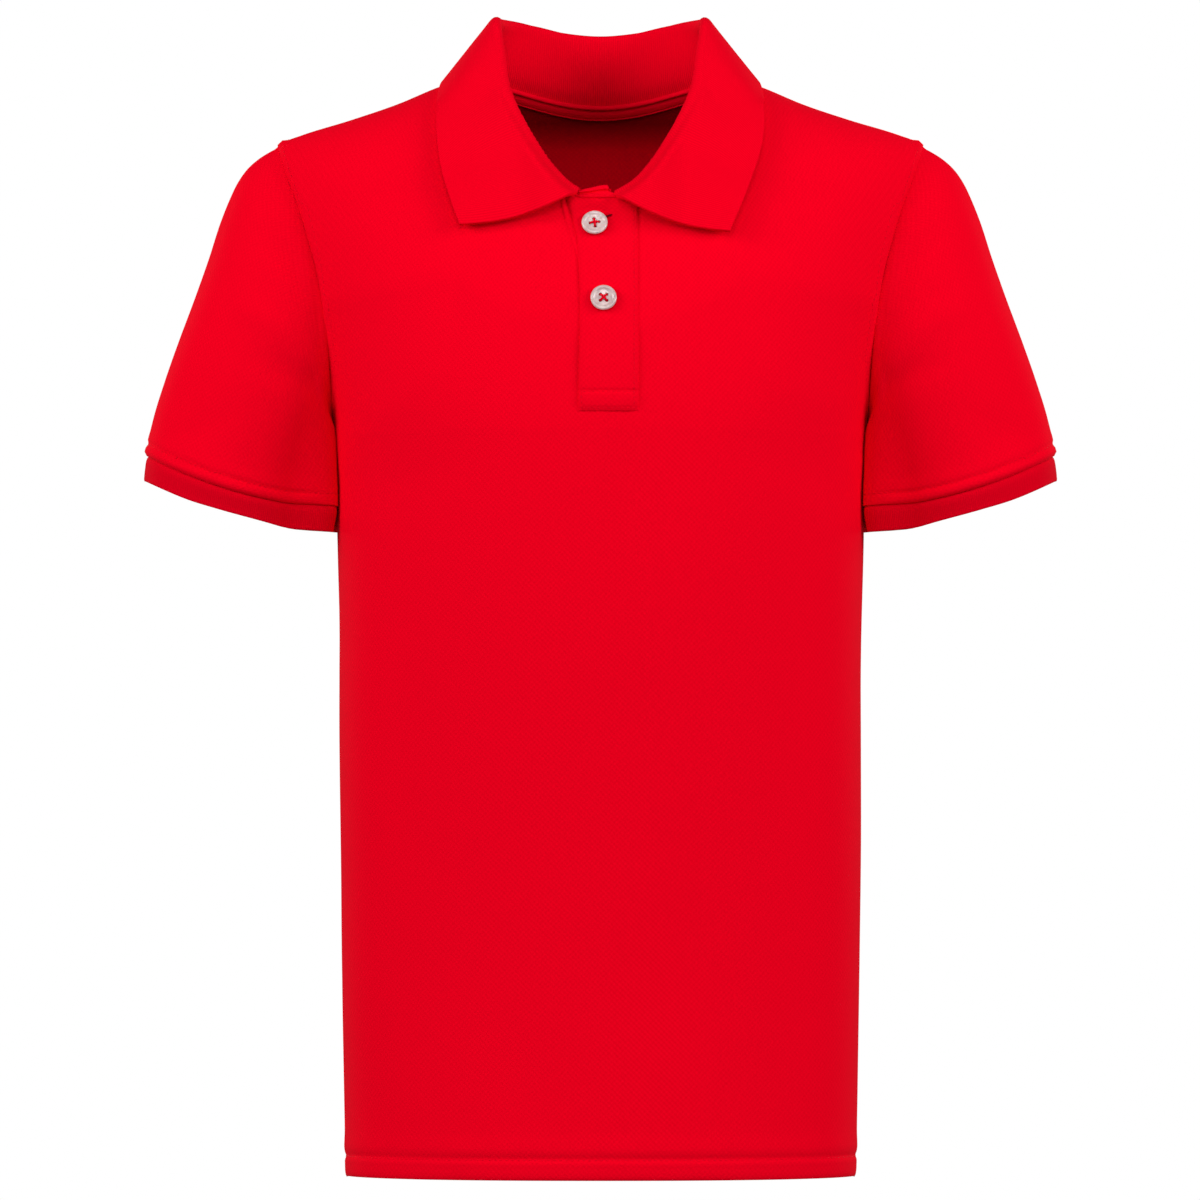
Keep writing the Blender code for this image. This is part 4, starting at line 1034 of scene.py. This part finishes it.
def tapePiece():
    t = tapeStrip
    x = np.linspace(-t["half"], t["half"], 121)
    down = np.linspace(-t["above"], t["tall"], 38)
    z = neckZ(x, 1) - down[:, None]
    grid = np.stack([np.broadcast_to(x, z.shape), trunkY(x, z, 1), z], axis=2)
    face = -faceOut(grid, (0, 1, 0))
    bow = curveAt(t["bow"], down)[:, 0]
    points = grid + face * (bodyPanel["wall"] + t["off"] + bow[:, None, None])
    piece = clothPiece("neckTape", "neck_tape", points, clothUv(points), "tape", t["wall"], face)
    return piece, points, face


neckTape, tapePoints, tapeFace = tapePiece()
print("neck tape made")

# Buttons, turned from a profile, then bored.
button = {
    "profile": (  # radius, height
        (0.0, 0.0), (4.8, 0.0), (5.6, 0.18), (6.1, 0.55), (6.42, 1.1), (6.45, 1.45), (6.3, 1.85),
        (5.95, 2.15), (5.5, 2.25), (5.1, 2.2), (4.75, 2.0), (4.45, 1.78), (4.0, 1.62), (3.2, 1.53),
        (0.0, 1.47)),
    "holeCircle": 2.2,
    "holeRadius": 0.8,
    "shank": 0.45,
    "around": 72,
    "threadApart": 0.22,        # the two strands of a bundle, off its middle
    "threadHigh": (1.55, 0.28, 0.42),       # the first bundle, how much higher the second, the rise of each
}
buttonPlaces = (  # node, x, z, turn of the holes in degrees
    ("button_top", -2.9, -78.0, 9.0),
    ("button_lower", 1.5, -115.0, 45.0),
)


def buttonAxes(x, z):
    # where the button's underside is, and its directions right, up and out
    d = 0.5
    slopeX = float(trunkY(x + d, z, -1) - trunkY(x - d, z, -1)) / (2 * d)
    slopeZ = float(trunkY(x, z + d, -1) - trunkY(x, z - d, -1)) / (2 * d)
    out = unit(np.array([slopeX, -1.0, slopeZ]))
    right = unit(np.cross([0, 0, 1.0], out))
    centre = np.array([x, float(trunkY(x, z, -1)), z]) + out * (placket["out"] + button["shank"])
    return centre, np.array([right, np.cross(out, right), out])


def toWorld(bm, centre, axes):
    turn = Matrix((axes * mm).T.tolist()).to_4x4()
    bmesh.ops.transform(bm, matrix=Matrix.Translation(Vector(centre * mm)) @ turn, verts=bm.verts)


def buttonPiece(node, x, z, turn):
    b = button
    centre, axes = buttonAxes(x, z)
    bm = bmesh.new()
    line = [bm.verts.new((r, 0, h)) for r, h in b["profile"]]
    edges = [bm.edges.new(pair) for pair in zip(line, line[1:])]
    bmesh.ops.spin(bm, geom=line + edges, cent=(0, 0, 0), axis=(0, 0, 1), angle=2 * math.pi,
                   steps=b["around"], use_merge=True)
    bmesh.ops.remove_doubles(bm, verts=bm.verts, dist=0.001)
    bmesh.ops.recalc_face_normals(bm, faces=bm.faces)
    toWorld(bm, centre, axes)
    blank = addObject("blank", meshFrom(bm, node + "Blank"))
    drills = bmesh.new()
    for quarter in range(4):
        angle = math.radians(turn + 90 * quarter)
        at = Matrix.Translation((b["holeCircle"] * math.cos(angle), b["holeCircle"] * math.sin(angle), 1))
        bmesh.ops.create_cone(drills, cap_ends=True, segments=20, radius1=b["holeRadius"],
                              radius2=b["holeRadius"], depth=6, matrix=at)
    toWorld(drills, centre, axes)
    drill = addObject("drill", meshFrom(drills, "drill"))
    bore = blank.modifiers.new("bore", "BOOLEAN")
    bore.operation, bore.solver, bore.object = "DIFFERENCE", "EXACT", drill
    softEdge(blank, 0.15, 50)
    view = bpy.context.evaluated_depsgraph_get()
    bored = bpy.data.meshes.new_from_object(blank.evaluated_get(view))
    bpy.data.objects.remove(blank)
    bpy.data.objects.remove(drill)
    bored.name = node + "Pearl"
    bored.shade_smooth()
    bored.set_sharp_from_angle(angle=math.radians(40))
    return placePiece(node + "Pearl", bored, "button", node), centre, axes


# Stitches: one short bent thread, copied along each sewn line.
stitch = {
    "long": 2.3,
    "every": 2.9,
    "radius": 0.17,
    "sides": 6,
    "cuts": 3,
    "stray": 0.06,              # how unevenly the stitches point
    "sink": 0.05,
    "hemUp": 10,                # whole millimetres, because the hem has a row for each
    "sleeveUp": 6.0,
    "armholeIn": 5.1,
}


def stitchShape(long, radius):
    bm = bmesh.new()
    bmesh.ops.create_cone(bm, cap_ends=True, segments=stitch["sides"], radius1=radius, radius2=radius,
                          depth=long)
    for k in range(stitch["cuts"]):
        at = long * ((k + 1) / (stitch["cuts"] + 1) - 0.5)
        bmesh.ops.bisect_plane(bm, geom=bm.verts[:] + bm.edges[:] + bm.faces[:], plane_co=(0, 0, at),
                               plane_no=(0, 0, 1))
    for v in bm.verts:      # thinner at its ends, which dive into the cloth
        share = v.co.z / (long / 2)
        v.co.x = v.co.x * (1 - 0.3 * share**2) + radius * (0.7 - 1.9 * share**2)
        v.co.y *= 1 - 0.3 * share**2
    return meshFrom(bm, "stitch")


def stitchLines(name, lines, every=stitch["every"], long=stitch["long"], radius=stitch["radius"]):
    # lines are (points, normals) pairs; a stitch lies along the line with its back to the cloth
    shape = stitchShape(long, radius)
    rng = np.random.default_rng(len(name))
    bm = bmesh.new()
    for points, face in lines:
        table = byLength(points)
        count = int(table[-1, 0] / every)
        at = (np.arange(count) + 0.5) * table[-1, 0] / max(count, 1)
        placed = curveAt(table, at)
        ahead = unit(curveAt(table, at + 0.4) - curveAt(table, at - 0.4))
        out = unit(curveAt(np.column_stack([table[:, 0], face]), at))
        for p, a, o in zip(placed, ahead, out):
            side = unit(np.cross(a, o))
            a = unit(a + side * rng.normal(0, stitch["stray"]))
            turn = Matrix((np.array([o, np.cross(a, o), a]) * mm).T.tolist()).to_4x4()
            first = len(bm.verts)
            bm.from_mesh(shape)
            bm.verts.ensure_lookup_table()
            bmesh.ops.transform(bm, matrix=Matrix.Translation(Vector(p * mm)) @ turn, verts=bm.verts[first:])
    return placePiece(name, meshFrom(bm, name, soft=True), "thread")


def hemLine(points, face):
    row = stitch["hemUp"]
    return points[row] - face[row] * stitch["sink"], face[row]


def sleeveEndLine(points, face):
    rows, columns = np.argmin(np.abs(fromEnd - stitch["sleeveUp"]), axis=0), np.arange(points.shape[1])
    return points[rows, columns], face[rows, columns]


def armholeLine(points, face, right):
    # on the body, just inside the armhole seam
    if not right:
        points, face = points[:, ::-1], face[:, ::-1]
    rows = np.arange(lowRows + 4, len(points))
    away = np.linalg.norm(points[rows] - points[rows, -1:], axis=2)
    columns = np.argmin(np.abs(away - stitch["armholeIn"]), axis=1)
    return points[rows, columns], face[rows, columns]


def bandLine(z):
    row = int(np.argmin(np.abs(bandPoints[:, 20, 2] - z)))
    return bandPoints[row, 2:39], bandFace[row, 2:39]


panels = ((frontPoints, frontFace), (backPoints, backFace))
sleeves = ((leftPoints, leftFace), (rightPoints, rightFace))
hemStitches = stitchLines("hemStitches", [hemLine(*panel) for panel in panels])
sleeveStitches = stitchLines("sleeveStitches", [sleeveEndLine(*sleeve) for sleeve in sleeves])
armholeStitches = stitchLines("armholeStitches", [
    armholeLine(*panel, right) for panel in panels for right in (True, False)])
placketStitches = stitchLines("placketStitches", [
    bandLine(placket["foot"] + placket["stitchUp"]), bandLine(placket["box"]),
    (bandPoints[4:146, 37], bandFace[4:146, 37]), (bandPoints[1:15, 2], bandFace[1:15, 2]),
], every=2.4, long=1.9)
tapeStitches = stitchLines("tapeStitches", [(tapePoints[12], tapeFace[12]), (tapePoints[32], tapeFace[32])])
print("stitches made")


def buttonThread(node, centre, axes, turn):
    # two crossed bundles of thread through the four holes
    lines = []
    low, over, rise = button["threadHigh"]
    for quarter in (0, 1):
        angle = math.radians(turn + 90 * quarter)
        ahead = np.array([math.cos(angle), math.sin(angle), 0])
        side = np.array([-math.sin(angle), math.cos(angle), 0])
        for strand in (-1, 1):
            local = []
            for s in np.linspace(-1, 1, 9):
                high = low + over * quarter + rise * (1 - s * s)
                local.append(ahead * s * button["holeCircle"] + side * strand * button["threadApart"]
                             + [0, 0, high])
            lines.append((centre + np.array(local) @ axes, np.tile(axes[2], (9, 1))))
    return stitchLines(node + "Thread", lines, every=2.2, long=2.7, radius=0.36)


def slitPaintedShadePiece():
    # a dark lens at the open end of the top buttonhole: painted shade that stands in for the shaded slit
    # beside the button
    x0, z0, x1, z1 = placket["slit"]
    centre, axes = buttonAxes((x1 + 2.0) / 2, z1 - 0.55)
    centre = centre - axes[2] * (button["shank"] + 0.1)
    bm = bmesh.new()
    bmesh.ops.create_uvsphere(bm, u_segments=16, v_segments=8, radius=1.0)
    bmesh.ops.scale(bm, vec=placket["slitShadeSize"], verts=bm.verts)
    bmesh.ops.rotate(bm, cent=(0, 0, 0), matrix=Matrix.Rotation(math.atan2(z1 - z0, x1 - x0), 3, "Z"),
                     verts=bm.verts)
    toWorld(bm, centre, axes)
    return placePiece("buttonholeSlitPaintedShade", meshFrom(bm, "buttonholeSlitPaintedShade", soft=True), "slit")


# the first piece is the buttonhole's lens of painted shade
buttonPieces = [slitPaintedShadePiece()]
for node, x, z, turn in buttonPlaces:
    piece, centre, axes = buttonPiece(node, x, z, turn)
    buttonPieces += [piece, buttonThread(node, centre, axes, turn)]
print("buttons made")
# Studio: a ground far below and a sky, which the camera sees as white, and eight broad soft lights.
studio = {
    "groundZ": -0.95,
    "ground": "#808080",
    "groundRadius": 60.0,
    "sky": 0.16,            # strength of the light from all round
    "lens": 240.0,
    "distance": 4.0,
    "aim": (-0.00025, 0.0, -0.262),
}
lights = (  # name, watts, size, place in metres
    ("keyLight", 4.0, 0.7, (-0.1, -1.6, 1.7)),              # high in front
    ("frontLight", 23.5, 1.2, (0.0, -3.0, 1.2)),            # over the camera
    ("leftLight", 31.0, 1.2, (-2.1, -1.0, 0.75)),
    ("rightLight", 31.0, 1.2, (2.1, -1.0, 0.75)),
    ("leftObliqueLight", 14.0, 1.0, (-2.0, -2.4, 0.3)),     # between the camera and the sides
    ("rightObliqueLight", 14.0, 1.0, (2.0, -2.4, 0.3)),
    ("leftBackLight", 14.0, 1.0, (-2.0, 2.2, 0.2)),         # behind, on the back and the edges
    ("rightBackLight", 14.0, 1.0, (2.0, 2.2, 0.2)),
)


def whiteGround():
    bm = bmesh.new()
    bmesh.ops.create_circle(bm, cap_ends=True, segments=96, radius=studio["groundRadius"])
    bmesh.ops.translate(bm, verts=bm.verts, vec=(0, 0, studio["groundZ"]))
    mesh = meshFrom(bm, "ground")
    made, tree, shader = newFinish("studioPaper", {   # grey paper in the light, burnt out to white when seen
        "Base Color": linearColour(studio["ground"]), "Roughness": 0.95, "Specular IOR Level": 0.1,
    })
    white = addNode(tree, "Emission", {"Color": (1, 1, 1, 1), "Strength": 1.0})
    path = addNode(tree, "LightPath")
    mixed = addNode(tree, "MixShader",
                    links={0: path["Is Camera Ray"], 1: shader.outputs[0], 2: white[0]})
    tree.links.new(mixed[0], tree.nodes["Material Output"].inputs["Surface"])
    mesh.materials.append(made)
    addObject("ground", mesh)


def softLight(name, watts, size, place):
    light = bpy.data.lights.new(name, "AREA")
    light.shape, light.size, light.energy = "DISK", size, watts
    lamp = addObject(name, light)
    lamp.location = place
    aim = Vector(studio["aim"]) - lamp.location
    lamp.rotation_euler = aim.to_track_quat("-Z", "Y").to_euler()


def whiteSky():
    world = bpy.data.worlds.new("studio")
    bpy.context.scene.world = world
    world.use_nodes = True
    tree = world.node_tree
    tree.nodes.clear()
    seen = addNode(tree, "Background", {"Color": (1, 1, 1, 1), "Strength": 1.0})
    lit = addNode(tree, "Background", {"Color": (1, 1, 1, 1), "Strength": studio["sky"]})
    path = addNode(tree, "LightPath")
    mixed = addNode(tree, "MixShader", links={0: path["Is Camera Ray"], 1: lit[0], 2: seen[0]})
    addNode(tree, "OutputWorld", links={0: mixed[0]})


def camera():
    made = bpy.data.cameras.new("camera")
    made.lens, made.sensor_width = studio["lens"], 36.0
    made.clip_start, made.clip_end = 0.1, 200.0
    cam = addObject("camera", made)
    cam.location = Vector(studio["aim"]) + Vector((0, -studio["distance"], 0))
    cam.rotation_euler = (math.pi / 2, 0, 0)
    bpy.context.scene.camera = cam


whiteGround()
whiteSky()
for light in lights:
    softLight(*light)
camera()
bpy.context.scene.view_settings.view_transform = "Standard"
bpy.context.scene.view_settings.look = "None"
print("studio made")
